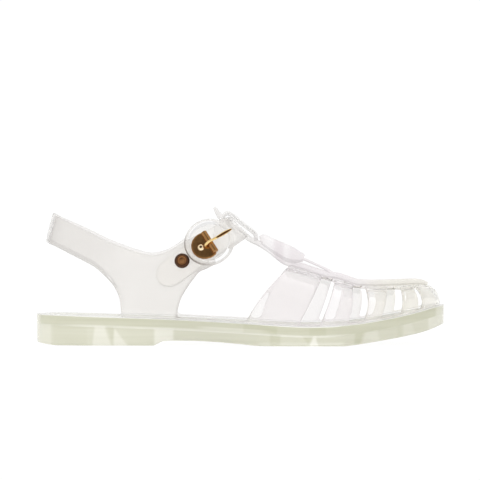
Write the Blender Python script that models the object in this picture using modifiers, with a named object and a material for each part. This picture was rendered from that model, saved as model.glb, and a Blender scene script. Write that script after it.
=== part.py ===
"""Clear moulded fisherman sandal, right shoe: toe along +X, lateral side along -Y, sole on z = 0."""
import math

import bmesh
import bpy
import numpy as np
from mathutils import Matrix, Vector

# Driving sizes in millimetres
MM = 0.001
SOLE_LENGTH = 260.0
SEAT_GAP = 0.3
WALL = 2.2

# Sole
BAND_HEIGHT = 6.0
BAND_PROUD = 0.7
BAND_STEP = 0.5
EDGE_ROUND = 0.8
FLOOR_ROUND = 1.2
STEP_ENDS = {"x": (0, 8, 26, 205, 240, 260), "share": (0.15, 0.4, 1, 1, 0.4, 0.15)}
FOOTBED_EDGE = 6.5
FOOTBED_SLOPE = 1.6
FOOTBED_DEPTH = 0.8

# Upper
UPPER_INSET = 2.5
RIM_HEIGHT = 1.3
SPINE_HALF = 5.5
SPINE_RISE = 1.2
VAMP_FULLNESS = 2.35
TOE_FULLNESS = 2.0
TOE_START = 205.0
LEAN_START = 40.0
LEAN_RATE = 0.0095
LEAN_RUN = 50.0
HEEL_LEAN = 0.35
STRAP_DEPTH = 3.1
TAIL_LENGTH = 42.0
STRAP_HALF = 9.0
STRAP_SLOPE = math.radians(33.0)
TAIL_SLOPE = math.radians(36.0)

# Buckle
BUCKLE_X = 110.4
BUCKLE_Z = 64.9
RING_RADIUS = 14.3
RING_WIDTH = 3.5
RING_DEPTH = 2.8
RING_LIFT = 0.7
PLATE_RADIUS = 9.2
PLATE_AT = -3.0
PLATE_DEPTH = 1.0
BAR_RADIUS = 2.0
BAR_AT = 0.3
BAR_HALF = 8.0
PLATE_RIVET_AT = -6.2
PRONG_DROP = -1.0
RIVET_X = 92.9
RIVET_Z = 53.9

# How finely each piece is divided
SOLE_STATIONS = 34
COLUMNS_HEEL = 9
COLUMNS_WING = 9
COLUMNS_ARCH = 7
COLUMNS_TAIL = 6
ROWS_BAND = 3
ROWS_TRUNK = 5
ROWS_VAMP = 8
COLUMNS_ARM = 3
COLUMNS_RIM = 5
RIM_FINE = 240
RING_STEPS = (40, 10)
PLATE_STEPS = 24

SOLE_PLAN = {
    "x":       (0, 5, 16, 40, 70, 100, 130, 155, 178, 200, 220, 238, 251, 260),
    "lateral": (0, -17, -27, -31.5, -32, -34, -38.5, -42.5, -44.5, -43.5, -39, -29.5, -16, 7),
    "medial":  (0, 17, 27, 31, 29.5, 28.5, 32, 37.5, 42.5, 45, 44, 39, 29.5, 7),
}
SOLE_BOTTOM = {
    "x": (0, 6, 13, 74, 81, 88, 96, 112, 128, 144, 195, 202, 210, 218, 233, 248, 260),
    "z": (1.6, 0.7, 0, 0, 2.8, 3.2, 3.2, 2.6, 1.4, 0, 0, 0.8, 1.9, 3.2, 5.7, 8.9, 13),
}
SOLE_TOP = {
    "x": (0, 12, 34, 55, 75, 98, 112, 130, 145, 160, 172, 185, 195, 209, 220, 232, 245, 254, 260),
    "z": (19.3, 19.2, 18.6, 17.9, 17.2, 16.2, 15.5, 14.5, 13.6, 12.7, 12.3, 12.5, 13.2, 14.8, 16.6, 18.8,
          21.6, 23.8, 25),
}

# Heel strap and wing edges as seen from the side
BAND_UPPER = {
    "x": (10.2, 14.7, 22.4, 33.9, 45.4, 56.9, 64.5, 74, 80, 85, 90, 95, 100, 105),
    "z": (84, 81.2, 77.8, 72.5, 66.8, 62.3, 59.8, 57.8, 59, 61, 64.1, 67.2, 69.8, 72.1),
}
BAND_LOWER = {
    "x": (5.4, 14.7, 22.4, 30, 37.7, 41.5, 52, 62, 72, 82, 93, 103.7, 110, 115),
    "z": (65.1, 61.2, 57.4, 53.7, 49.6, 46.3, 42.5, 40.5, 40, 41.2, 43.4, 47.2, 49.8, 53),
}
MEDIAL_LIFT = {"x": (85, 93, 98, 106.2), "z": (0, 0.4, 2.2, 3.6)}
TRUNK_REAR = {"x": (54, 53, 49.2, 45.4, 41.5), "z": (19, 28.9, 37.8, 42.3, 46.3)}
TRUNK_FRONT = {"x": (89.4, 91.3, 96.5, 101, 103.7), "z": (18, 27.7, 37.4, 43.6, 47.2)}
HEEL_BACK_LOWER = 5.4
HEEL_BACK_UPPER = 10.2
WING_REAR_LOWER = 41.5
WING_REAR_UPPER = 46.0
WING_FRONT_LOWER = 103.7
WING_FRONT_UPPER = 93.0
ARM_END_LOWER = 114.8
ARM_END_UPPER = 106.2
STRAP_START_LOWER = (117.0, 58.2)
STRAP_START_UPPER = (106.4, 72.4)
CROSS_LOWER = (135.2, 68.4)
CROSS_UPPER = (122.5, 81.1)

# Edges of the vamp strips: where each leaves the spine and where it meets the rim
VAMP_EDGES = {
    "name":    ("rear", "gap1", "strip2", "gap2", "strip3", "gap3", "strip4", "gap4", "toe", "tip"),
    "spine":   (160, 182, 190, 201.7, 209.6, 223.5, 232, 239.6, 241.4, 246),
    "lateral": (133.5, 167.2, 180.6, 198.5, 208.3, 220, 232.6, 243.2, 246, SOLE_LENGTH),
    "medial":  (143, 180, 190, 206.2, 214.5, 228.6, 236, 242.6, 247.8, SOLE_LENGTH),
    "shift":   (0, 7, 6, 5.6, 5.4, 5.4, 2.5, 0, 0.6, 0),
    "bow":     (-2.8, 0.3, 0.5, 1.4, 2, 1, 1, 1.5, 1.5, 0),
    "split":   (5, 1, 3, 1, 3, 1, 2, 1, 6, 1),
}
VAMP_GAPS = ("gap1", "gap2", "gap3", "gap4")
SPINE_EDGE = {
    "x": (160, 170, 182, 190, 203, 219, 230, 240, 247),
    "z": (49.4, 47, 43.4, 41, 37.5, 36.2, 36.2, 36.8, 37.2),
}
SPINE_SIDE = {"x": (160, 200, 225, 247), "y": (0.5, 2.0, 4.0, 6.0)}

# Bars lofted along the middle of the shoe: x, centre height, width, depth
SPINE_BEAD = (
    (163, 51.2, 8, 4.0), (170, 49.3, 9.5, 4.2), (178, 46.6, 9.5, 4.2), (186, 44.2, 9.5, 4.0),
    (192, 43.4, 9.5, 4.2), (198.7, 41.4, 9.5, 4.2), (204, 39.5, 9.5, 4.2), (214, 38.9, 9.5, 4.2),
    (228, 39.1, 9.5, 4.2), (240, 39.6, 9.0, 4.0), (246, 39.2, 8.0, 3.4), (249.5, 38, 6.0, 2.4),
)
SPINE_BRIDGE = (
    (166, 55.8, 8, 1.8), (171, 53.9, 8, 1.8), (176, 51.7, 8, 1.6), (182, 49.0, 8, 1.6),
    (187, 46.2, 8, 2.2), (190, 44, 7, 2.0),
)
THROAT_KNOT = (
    (141.6, 66.8, 12, 2.6), (144.4, 66.8, 15, 6.4), (150, 63.5, 17.5, 7.9), (157, 59.5, 18.5, 9.8),
    (163, 56.6, 18.5, 10.0), (168.2, 55.4, 17, 6.6), (170.4, 54.6, 15, 4.4),
)
T_BAR = (
    (172, 47.2, 11, 2.4), (165, 49.2, 12, 2.8), (160, 50.6, 13, 3.0), (156.3, 53.5, 13.5, 3.0),
    (148.8, 59.5, 14, 3.0), (141.5, 63.9, 14, 2.8), (135.8, 65.9, 14, 2.2), (129, 71, 14, 2.0),
    (121.4, 76.8, 14, 2.4), (117.4, 81, 12, 3.6), (115, 84.4, 8, 3.0), (113.3, 87.1, 3.0, 1.8),
)
LOOP_BAND = (
    (142.2, 64.6, 12.6, 2.2), (141.0, 68.6, 14.2, 2.4), (138.9, 71.1, 14.8, 2.4), (131, 77.2, 14.8, 2.4),
    (123.8, 83, 14.8, 2.4), (120.5, 83.3, 13.6, 2.4), (118.0, 80.2, 10.6, 2.2),
)
BAR_SAG = 0.9
BAR_SAG_AT = 7.0
BAR_SECTION = (
    (-1, 0.45), (-0.62, 0.92), (0, 1), (0.62, 0.92), (1, 0.45),
    (1, -0.6), (0.62, -1), (-0.62, -1), (-1, -0.6),
)

# Prong: place along the strap, height and radius
PRONG = (
    (-3.4, 2.9, 0.95), (-2.2, 4.2, 0.95), (0.2, 5.4, 0.9), (3, 5.1, 0.8), (6.5, 4.9, 0.95),
    (10.5, 4.9, 1.15), (14.2, 4.8, 0.9), (16.4, 4.6, 0.4),
)

# Rivets: radius and height
STRAP_RIVET = (
    (0.0, 0.0), (4.5, 0.0), (4.5, 1.0), (3.9, 1.6), (3.2, 1.6), (2.7, 0.9), (2.0, 0.75), (1.6, 1.1),
    (0.0, 1.2),
)
PLATE_RIVET = ((0.0, 0.0), (2.1, 0.0), (2.0, 0.45), (1.3, 1.0), (0.0, 1.2))


def follow(table, at, value="z", key="x"):
    """Value of one table column at a place along another, by a monotone cubic."""
    xs = np.asarray(table[key], float)
    ys = np.asarray(table[value], float)
    if xs[0] > xs[-1]:
        xs, ys = xs[::-1], ys[::-1]
    step = np.diff(xs)
    rise = np.diff(ys) / step
    slope = np.zeros_like(ys)
    slope[0], slope[-1] = rise[0], rise[-1]
    for k in range(1, len(xs) - 1):
        if rise[k - 1] * rise[k] > 0:
            a, b = 2 * step[k] + step[k - 1], step[k] + 2 * step[k - 1]
            slope[k] = (a + b) / (a / rise[k - 1] + b / rise[k])
    at = float(min(max(at, xs[0]), xs[-1]))
    k = min(int(np.searchsorted(xs, at, side="right")) - 1, len(xs) - 2)
    t = (at - xs[k]) / step[k]
    return ((1 + 2 * t) * (1 - t) ** 2 * ys[k] + t * (1 - t) ** 2 * step[k] * slope[k]
            + t * t * (3 - 2 * t) * ys[k + 1] + t * t * (t - 1) * step[k] * slope[k + 1])


def along(points, share):
    """Point at a share of the way along a curve drawn smoothly through a few points."""
    points = [Vector(p) for p in points]
    place = min(max(share, 0.0), 1.0) * (len(points) - 1)
    k = min(int(place), len(points) - 2)
    t = place - k
    before = points[k - 1] if k else points[0] * 2 - points[1]
    after = points[k + 2] if k + 2 < len(points) else points[-1] * 2 - points[-2]
    here, there = points[k], points[k + 1]
    return 0.5 * (2 * here + (there - before) * t + (2 * before - 5 * here + 4 * there - after) * t * t
                  + (3 * here - before - 3 * there + after) * t ** 3)


def turn_of(x):
    """Angle round the outline that stands for a distance from the heel."""
    return math.acos(1 - 2 * min(max(x, 0.0), SOLE_LENGTH) / SOLE_LENGTH)


PLAN_BY_TURN = {
    "turn": [turn_of(x) for x in SOLE_PLAN["x"]],
    "lateral": SOLE_PLAN["lateral"],
    "medial": SOLE_PLAN["medial"],
}


def outline_point(side, turn):
    x = SOLE_LENGTH / 2 * (1 - math.cos(turn))
    return Vector((x, follow(PLAN_BY_TURN, turn, side, "turn")))


def outline_ring(count, inset, fading=False):
    """Closed sole outline: heel back, lateral side, toe tip, medial side, moved inward.

    A fading inset runs out toward the heel's back and the toe."""
    turns = [math.pi * k / count for k in range(count + 1)]
    ring = [outline_point("lateral", t) for t in turns]
    ring += [outline_point("medial", t) for t in turns[-2:0:-1]]
    moved = []
    for k, point in enumerate(ring):
        ahead = ring[(k + 1) % len(ring)] - ring[k - 1]
        inward = Vector((-ahead.y, ahead.x)).normalized()
        share = follow(STEP_ENDS, point.x, "share") if fading else 1.0
        moved.append(point + inward * inset * share)
    return moved


RIM_RING = outline_ring(RIM_FINE, UPPER_INSET)
RIM_SIDE = {"lateral": RIM_RING[:RIM_FINE + 1], "medial": [RIM_RING[0]] + RIM_RING[:RIM_FINE - 1:-1]}


def rim_place(side, x):
    """Place along one side of the rim, counted in its own steps, at a distance from the heel."""
    run = RIM_SIDE[side]
    for k, (here, there) in enumerate(zip(run, run[1:])):
        if here.x <= x <= there.x:
            return k + (x - here.x) / max(there.x - here.x, 1e-9)
    return len(run) - 1.0


def rim_at(side, place):
    run = RIM_SIDE[side]
    k = min(int(place), len(run) - 2)
    return run[k].lerp(run[k + 1], place - k)


def rim_point(side, x):
    """Where the outer face of the rim stands on the sole at a distance from the heel."""
    return rim_at(side, rim_place(side, x))


def rim_seat(x):
    return follow(SOLE_TOP, x) + SEAT_GAP


def wall_reach(side, x, z):
    """How far from the middle the side wall stands: it leans inward as it rises."""
    reach = abs(rim_point(side, x).y)
    ease = min(max((x - WING_REAR_UPPER) / LEAN_RUN, 0.0), 1.0)
    share = HEEL_LEAN + (1 - HEEL_LEAN) * ease * ease * (3 - 2 * ease)
    return reach - share * LEAN_RATE * max(z - LEAN_START, 0.0) ** 2


def sign_of(side):
    return -1.0 if side == "lateral" else 1.0


def wall_point(side, x, z, depth=0.0):
    return Vector((x, sign_of(side) * (wall_reach(side, x, z) - depth), z))


def blend_rows(lower, upper, rows):
    return [lower.lerp(upper, k / rows) for k in range(rows + 1)]


def upper_edge(side, x):
    """Height of the strap's upper edge; the medial side rises sooner toward the instep."""
    return follow(BAND_UPPER, x) + (follow(MEDIAL_LIFT, x) if side == "medial" else 0.0)


def wing_columns(side):
    """Columns of the strap across the wing, lower edge to upper edge."""
    columns = []
    for k in range(COLUMNS_WING + 1):
        share = k / COLUMNS_WING
        low_x = WING_REAR_LOWER + (WING_FRONT_LOWER - WING_REAR_LOWER) * share
        up_x = WING_REAR_UPPER + (WING_FRONT_UPPER - WING_REAR_UPPER) * share
        low = Vector((low_x, 0, follow(BAND_LOWER, low_x)))
        up = Vector((up_x, 0, upper_edge(side, up_x)))
        columns.append([wall_point(side, p.x, p.z) for p in blend_rows(low, up, ROWS_BAND)])
    return columns


def heel_columns(side):
    """Columns of the heel strap from the middle of the back round to the wing."""
    columns = []
    for k in range(COLUMNS_HEEL + 1):
        swing = math.pi / 2 * k / COLUMNS_HEEL
        column = []
        for row in range(ROWS_BAND + 1):
            share = row / ROWS_BAND
            back = HEEL_BACK_LOWER + (HEEL_BACK_UPPER - HEEL_BACK_LOWER) * share
            front = WING_REAR_LOWER + (WING_REAR_UPPER - WING_REAR_LOWER) * share
            x = front - (front - back) * math.cos(swing)
            low_x = WING_REAR_LOWER - (WING_REAR_LOWER - HEEL_BACK_LOWER) * math.cos(swing)
            up_x = WING_REAR_UPPER - (WING_REAR_UPPER - HEEL_BACK_UPPER) * math.cos(swing)
            low_z, up_z = follow(BAND_LOWER, low_x), follow(BAND_UPPER, up_x)
            z = low_z + (up_z - low_z) * share
            end_low, end_up = follow(BAND_LOWER, WING_REAR_LOWER), follow(BAND_UPPER, WING_REAR_UPPER)
            reach = wall_reach(side, front, end_low + (end_up - end_low) * share)
            column.append(Vector((x, sign_of(side) * reach * math.sin(swing), z)))
        columns.append(column)
    return columns


def arm_columns(side):
    """Columns from the front of the wing up the arm to the buckle."""
    columns = []
    for k in range(COLUMNS_ARM + 1):
        share = k / COLUMNS_ARM
        low_x = WING_FRONT_LOWER + (ARM_END_LOWER - WING_FRONT_LOWER) * share
        up_x = WING_FRONT_UPPER + (ARM_END_UPPER - WING_FRONT_UPPER) * share
        low = Vector((low_x, 0, follow(BAND_LOWER, low_x)))
        up = Vector((up_x, 0, upper_edge(side, up_x)))
        columns.append([wall_point(side, p.x, p.z) for p in blend_rows(low, up, ROWS_BAND)])
    return columns


def arch_columns(side):
    """Columns of the ankle strap from the arm's end over the instep to the loop."""
    starts = arm_columns(side)[-1]
    if side == "lateral":
        low, up = (Vector((x, 0, z)) for x, z in (STRAP_START_LOWER, STRAP_START_UPPER))
        starts = [wall_point(side, p.x, p.z, STRAP_DEPTH) for p in blend_rows(low, up, ROWS_BAND)]
    low_top = Vector((CROSS_LOWER[0], 0, CROSS_LOWER[1]))
    up_top = Vector((CROSS_UPPER[0], 0, CROSS_UPPER[1]))
    columns = []
    for k in range(COLUMNS_ARCH + 1):
        swing = math.pi / 2 * k / COLUMNS_ARCH
        column = []
        for start, top in zip(starts, blend_rows(low_top, up_top, ROWS_BAND)):
            rise = start.lerp(top, math.sin(swing))
            column.append(Vector((rise.x, start.y * math.cos(swing), rise.z)))
        columns.append(column)
    return columns


def tail_columns():
    """Columns of the strap's tail inside the lateral wing, with a rounded tip."""
    run = Vector((math.cos(TAIL_SLOPE), 0, math.sin(TAIL_SLOPE)))
    across = Vector((-math.sin(TAIL_SLOPE), 0, math.cos(TAIL_SLOPE)))
    middle = (Vector(STRAP_START_LOWER) + Vector(STRAP_START_UPPER)) / 2
    columns = []
    for k in range(1, COLUMNS_TAIL + 1):
        share = k / COLUMNS_TAIL
        back = TAIL_LENGTH * math.sin(math.pi / 2 * share)
        tip = max(back - (TAIL_LENGTH - STRAP_HALF), 0.0) / STRAP_HALF
        half = STRAP_HALF * math.sqrt(max(1 - tip * tip, 0.04))
        centre = Vector((middle.x, 0, middle.y)) - run * back
        rows = blend_rows(centre - across * half, centre + across * half, ROWS_BAND)
        columns.append([wall_point("lateral", p.x, p.z, STRAP_DEPTH) for p in rows])
    return columns


def trunk_grid(side):
    """Wing below the strap, down to the top of the rim."""
    top = [column[0] for column in wing_columns(side)]
    grid = []
    for k, head in enumerate(top):
        share = k / COLUMNS_WING
        foot_x = TRUNK_REAR["x"][0] + (TRUNK_FRONT["x"][0] - TRUNK_REAR["x"][0]) * share
        foot_z = rim_seat(foot_x) + RIM_HEIGHT
        column = []
        for row in range(ROWS_TRUNK + 1):
            rise = row / ROWS_TRUNK
            rear_z = TRUNK_REAR["z"][0] + (TRUNK_REAR["z"][-1] - TRUNK_REAR["z"][0]) * rise
            front_z = TRUNK_FRONT["z"][0] + (TRUNK_FRONT["z"][-1] - TRUNK_FRONT["z"][0]) * rise
            rear = follow(TRUNK_REAR, rear_z, "x", "z")
            front = follow(TRUNK_FRONT, front_z, "x", "z")
            straight_rear = TRUNK_REAR["x"][0] + (TRUNK_REAR["x"][-1] - TRUNK_REAR["x"][0]) * rise
            straight_front = TRUNK_FRONT["x"][0] + (TRUNK_FRONT["x"][-1] - TRUNK_FRONT["x"][0]) * rise
            x = foot_x + (head.x - foot_x) * rise
            x += (rear - straight_rear) * (1 - share) + (front - straight_front) * share
            z = foot_z + (head.z - foot_z) * rise
            column.append(wall_point(side, x, z))
        column[-1] = head
        grid.append(column)
    return grid


def rim_grid(side):
    """Low rim that stands on the sole from the back of the wing to the toe tip."""
    reach = [column[0].x for column in trunk_grid(side)]
    span = VAMP_EDGES[side][0] - reach[-1]
    reach += [reach[-1] + span * k / COLUMNS_RIM for k in range(1, COLUMNS_RIM)]
    feet = [rim_point(side, x) for x in reach]
    feet += [foot for _, foot, _, _, _ in vamp_columns(side)]
    grid = []
    for foot in feet:
        seat = rim_seat(foot.x)
        grid.append([Vector((foot.x, foot.y, seat)), Vector((foot.x, foot.y, seat + RIM_HEIGHT))])
    return grid


def vamp_columns(side):
    """Spine place, foot on the rim, medial shift, bow and strip name of every column of the vamp."""
    columns = []
    feet = [rim_place(side, x) for x in VAMP_EDGES[side]]
    rows = list(zip(VAMP_EDGES["spine"], feet, VAMP_EDGES["shift"], VAMP_EDGES["bow"]))
    for k, split in enumerate(VAMP_EDGES["split"]):
        ahead = rows[min(k + 1, len(rows) - 1)]
        for part in range(split):
            spine, place, shift, bow = (a + (b - a) * part / split for a, b in zip(rows[k], ahead))
            columns.append((spine, rim_at(side, place), shift, bow, VAMP_EDGES["name"][k]))
    return columns


def spine_point(x, side=None):
    edge_z = follow(SPINE_EDGE, x)
    middle = follow(SPINE_SIDE, x, "y")
    if side is None:
        return Vector((x, middle, edge_z + SPINE_RISE))
    return Vector((x, middle + sign_of(side) * SPINE_HALF, edge_z))


def vamp_grid(side):
    """Vamp from the top of the rim up to the edge of the spine, then to its middle."""
    grid = []
    tip = RIM_SIDE[side][-1].x
    for spine_x, foot, shift, bow, name in vamp_columns(side):
        seat = rim_seat(foot.x) + RIM_HEIGHT
        top = spine_point(spine_x + (shift if side == "medial" else 0.0), side)
        if name == "tip":
            top = spine_point(spine_x)
        toe = max((foot.x - TOE_START) / (tip - TOE_START), 0.0) ** 2
        power = 2 / (VAMP_FULLNESS + (TOE_FULLNESS - VAMP_FULLNESS) * toe)
        column = []
        for row in range(ROWS_VAMP + 1):
            swing = math.pi / 2 * row / ROWS_VAMP
            rise = math.sin(swing) ** power
            inward = 1 - max(math.cos(swing), 0.0) ** power
            x = foot.x + (top.x - foot.x) * (rise * (1 - toe) + inward * toe)
            x += bow * 4 * rise * (1 - rise)
            column.append(Vector((x, foot.y + (top.y - foot.y) * inward, seat + (top.z - seat) * rise)))
        column.append(spine_point(spine_x))
        grid.append((name, column))
    return grid


def new_object(name, bm, home):
    """One named object from a mesh in millimetres."""
    bmesh.ops.recalc_face_normals(bm, faces=bm.faces)
    bmesh.ops.scale(bm, vec=(MM, MM, MM), verts=bm.verts)
    bmesh.ops.translate(bm, vec=SHIFT * MM, verts=bm.verts)
    mesh = bpy.data.meshes.new(name)
    bm.to_mesh(mesh)
    bm.free()
    made = bpy.data.objects.new(name, mesh)
    home.objects.link(made)
    return made


def add_grid(bm, columns, skip=lambda column, row: False, flip=False):
    made = [[bm.verts.new(point) for point in column] for column in columns]
    for k in range(len(made) - 1):
        for row in range(len(made[k]) - 1):
            if skip(k, row):
                continue
            face = [made[k][row], made[k + 1][row], made[k + 1][row + 1], made[k][row + 1]]
            bm.faces.new(face[::-1] if flip else face)


def upper_sheet():
    """Outer face of the whole upper as one sheet, its gaps left open."""
    bm = bmesh.new()
    for side in ("lateral", "medial"):
        flip = side == "medial"
        add_grid(bm, heel_columns(side), flip=flip)
        add_grid(bm, wing_columns(side), flip=flip)
        add_grid(bm, trunk_grid(side), flip=flip)
        add_grid(bm, arm_columns(side), flip=flip)
        add_grid(bm, rim_grid(side), flip=flip)
        vamp = vamp_grid(side)
        names = [name for name, _ in vamp]
        add_grid(bm, [column for _, column in vamp],
                 lambda k, row: names[k] in VAMP_GAPS and row < ROWS_VAMP, flip)
    strap = arch_columns("medial") + arch_columns("lateral")[-2::-1] + tail_columns()
    add_grid(bm, strap, flip=True)
    bmesh.ops.remove_doubles(bm, verts=bm.verts, dist=0.02)
    bmesh.ops.dissolve_degenerate(bm, edges=bm.edges, dist=0.01)
    return bm


def middle_bar(stations, name, home):
    """Bar lofted along the middle of the shoe, its edges hanging a little below its centre."""
    path = [Vector((x, follow(SPINE_SIDE, x, "y"), z)) for x, z, _, _ in stations]
    sizes = [Vector((wide, deep, 0)) for _, _, wide, deep in stations]
    bm = bmesh.new()
    rings = []
    for k in range(len(stations)):
        share = k / (len(stations) - 1)
        centre, size = along(path, share), along(sizes, share)
        ahead = (along(path, share + 0.01) - along(path, share - 0.01)).normalized()
        up = Vector((0, 1, 0)).cross(ahead)
        up = -up if up.z + abs(up.x) * 0.2 < 0 else up
        half, deep = size.x / 2, size.y / 2
        ring = []
        for out, rise in BAR_SECTION:
            sag = BAR_SAG * (out * half / BAR_SAG_AT) ** 2
            ring.append(bm.verts.new(centre + Vector((0, out * half, 0)) + up * (rise * deep - sag)))
        rings.append(ring)
    close_rings(bm, rings)
    return new_object(name, bm, home)


def close_rings(bm, rings):
    """Walls between rings of equal count, and a face over each end."""
    for here, there in zip(rings, rings[1:]):
        for k in range(len(here)):
            n = (k + 1) % len(here)
            bm.faces.new((here[k], here[n], there[n], there[k]))
    bm.faces.new(rings[0][::-1])
    bm.faces.new(rings[-1])


def sole_mesh():
    """Sole from rings round its outline; ladder faces close its bottom and its footbed."""
    heights = (
        (BAND_PROUD + FLOOR_ROUND, lambda x: follow(SOLE_BOTTOM, x)),
        (BAND_PROUD + FLOOR_ROUND * 0.4, lambda x: follow(SOLE_BOTTOM, x) + FLOOR_ROUND * 0.15),
        (BAND_PROUD, lambda x: follow(SOLE_BOTTOM, x) + FLOOR_ROUND * 0.7),
        (BAND_PROUD, lambda x: follow(SOLE_TOP, x) - BAND_HEIGHT - BAND_STEP),
        (0.0, lambda x: follow(SOLE_TOP, x) - BAND_HEIGHT),
        (0.0, lambda x: follow(SOLE_TOP, x) - EDGE_ROUND),
        (EDGE_ROUND, lambda x: follow(SOLE_TOP, x)),
        (FOOTBED_EDGE, lambda x: follow(SOLE_TOP, x)),
        (FOOTBED_EDGE + FOOTBED_SLOPE, lambda x: follow(SOLE_TOP, x) - FOOTBED_DEPTH),
    )
    bm = bmesh.new()
    rings = []
    for inset, height in heights:
        ring = outline_ring(SOLE_STATIONS, inset, inset < FOOTBED_EDGE)
        rings.append([bm.verts.new((p.x, p.y, height(p.x))) for p in ring])
    count = len(rings[0])
    for here, there in zip(rings, rings[1:]):
        for k in range(count):
            n = (k + 1) % count
            bm.faces.new((here[k], here[n], there[n], there[k]))
    for ring in (rings[0][::-1], rings[-1]):
        for k in range(count // 2):
            face = [ring[k], ring[k + 1], ring[-k - 1], ring[-k]]
            bm.faces.new(list(dict.fromkeys(face)))
    return bm


def seat_frame(x, z):
    """Flat seat on the outside of the lateral wall: run along the strap, across it, and outward."""
    origin = wall_point("lateral", x, z)
    dx = wall_point("lateral", x + 0.5, z) - wall_point("lateral", x - 0.5, z)
    dz = wall_point("lateral", x, z + 0.5) - wall_point("lateral", x, z - 0.5)
    out = dx.cross(dz).normalized()
    run = Vector((math.cos(STRAP_SLOPE), 0, math.sin(STRAP_SLOPE)))
    run = (run - out * run.dot(out)).normalized()
    across = out.cross(run)
    turn = Matrix((run, across, out)).transposed().to_4x4()
    return Matrix.Translation(origin) @ turn


def ring_mesh(seat):
    bm = bmesh.new()
    around, section = RING_STEPS
    rings = []
    for k in range(around):
        a = 2 * math.pi * k / around
        ring = []
        for s in range(section):
            b = 2 * math.pi * s / section
            r = RING_RADIUS + RING_WIDTH / 2 * math.cos(b)
            h = RING_LIFT + RING_DEPTH / 2 * (1 + math.sin(b))
            ring.append(bm.verts.new(seat @ Vector((r * math.cos(a), r * math.sin(a), h))))
        rings.append(ring)
    for k in range(around):
        here, there = rings[k], rings[(k + 1) % around]
        for s in range(section):
            n = (s + 1) % section
            bm.faces.new((here[s], here[n], there[n], there[s]))
    return bm


def plate_mesh(seat):
    """Round plate cut straight along the bar."""
    bm = bmesh.new()
    edge = math.acos((BAR_AT - PLATE_AT) / PLATE_RADIUS)
    turns = [edge + (2 * math.pi - 2 * edge) * k / PLATE_STEPS for k in range(PLATE_STEPS + 1)]
    levels = ((0.0, 0.0), (0.0, PLATE_DEPTH * 0.6), (0.4, PLATE_DEPTH))
    rings = []
    for inset, rise in levels:
        r = PLATE_RADIUS - inset
        flat = [Vector((PLATE_AT + r * math.cos(a), r * math.sin(a), SEAT_GAP + rise)) for a in turns]
        rings.append([bm.verts.new(seat @ point) for point in flat])
    close_rings(bm, rings)
    return bm


def rod_mesh(seat, stations, sides=8):
    """Rod along the strap: place, height and radius at each station."""
    bm = bmesh.new()
    rings = []
    for run, rise, radius in stations:
        turns = [2 * math.pi * k / sides for k in range(sides)]
        rings.append([bm.verts.new(seat @ Vector((run, radius * math.cos(a), rise + radius * math.sin(a))))
                      for a in turns])
    close_rings(bm, rings)
    return bm


def bar_mesh(seat):
    bm = bmesh.new()
    rings = []
    for place, radius in ((-BAR_HALF, 0.9), (-BAR_HALF + 0.5, 1), (BAR_HALF - 0.5, 1), (BAR_HALF, 0.9)):
        ring = []
        for k in range(12):
            a = 2 * math.pi * (k + 0.5) / 12
            point = Vector((BAR_AT + BAR_RADIUS * radius * math.cos(a), place,
                            SEAT_GAP + BAR_RADIUS * (1 + radius * math.sin(a))))
            ring.append(bm.verts.new(seat @ point))
        rings.append(ring)
    close_rings(bm, rings)
    return bm


def turned_mesh(seat, profile, lift, around=24):
    """Round piece turned from a profile of radius and height."""
    bm = bmesh.new()
    foot = bm.verts.new(seat @ Vector((0, 0, lift + profile[0][1])))
    head = bm.verts.new(seat @ Vector((0, 0, lift + profile[-1][1])))
    rings = []
    for radius, rise in profile[1:-1]:
        turns = [2 * math.pi * k / around for k in range(around)]
        rings.append([bm.verts.new(seat @ Vector((radius * math.cos(a), radius * math.sin(a), lift + rise)))
                      for a in turns])
    for here, there in zip(rings, rings[1:]):
        for k in range(around):
            n = (k + 1) % around
            bm.faces.new((here[k], here[n], there[n], there[k]))
    for k in range(around):
        n = (k + 1) % around
        bm.faces.new((foot, rings[0][n], rings[0][k]))
        bm.faces.new((head, rings[-1][k], rings[-1][n]))
    return bm


def material(name, colour, rough, metal=0.0):
    made = bpy.data.materials.new(name)
    made.use_nodes = True
    shader = made.node_tree.nodes["Principled BSDF"]
    shader.inputs["Base Color"].default_value = (*colour, 1)
    shader.inputs["Roughness"].default_value = rough
    shader.inputs["Metallic"].default_value = metal
    return made


def join_to(body, piece):
    """Grow one solid by another that runs into it."""
    piece.hide_render = True
    piece.display_type = "WIRE"
    grown = body.modifiers.new("with_" + piece.name, "BOOLEAN")
    grown.operation = "UNION"
    grown.solver = "EXACT"
    grown.object = piece


for old in list(bpy.data.objects):
    bpy.data.objects.remove(old, do_unlink=True)
PARTS = bpy.data.collections.new("fisherman_sandal")
TOOLS = bpy.data.collections.new("joined_forms")
bpy.context.scene.collection.children.link(PARTS)
bpy.context.scene.collection.children.link(TOOLS)

# The frame's origin lies under the middle of the sole's box
OUTER = outline_ring(SOLE_STATIONS, 0.0)
SHIFT = Vector((-(min(p.x for p in OUTER) + max(p.x for p in OUTER)) / 2,
                -(min(p.y for p in OUTER) + max(p.y for p in OUTER)) / 2, 0))

sole = new_object("sole", sole_mesh(), PARTS)
sole.data.materials.append(material("sole_plastic", (0.62, 0.61, 0.44), 0.2))

upper = new_object("upper", upper_sheet(), PARTS)
shell = upper.modifiers.new("wall", "SOLIDIFY")
shell.thickness = WALL * MM
shell.offset = -1
shell.use_even_offset = True
shell.use_quality_normals = True
for label, stations in (("spine_bead", SPINE_BEAD), ("spine_bridge", SPINE_BRIDGE), ("t_bar", T_BAR),
                        ("loop_band", LOOP_BAND), ("throat_knot", THROAT_KNOT)):
    join_to(upper, middle_bar(stations, label, TOOLS))
upper.data.materials.append(material("clear_plastic", (0.88, 0.87, 0.89), 0.1))

SEAT = seat_frame(BUCKLE_X, BUCKLE_Z)
ring = new_object("buckle_ring", ring_mesh(SEAT), PARTS)
ring.data.materials.append(material("ring_plastic", (0.86, 0.86, 0.86), 0.08))

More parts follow.
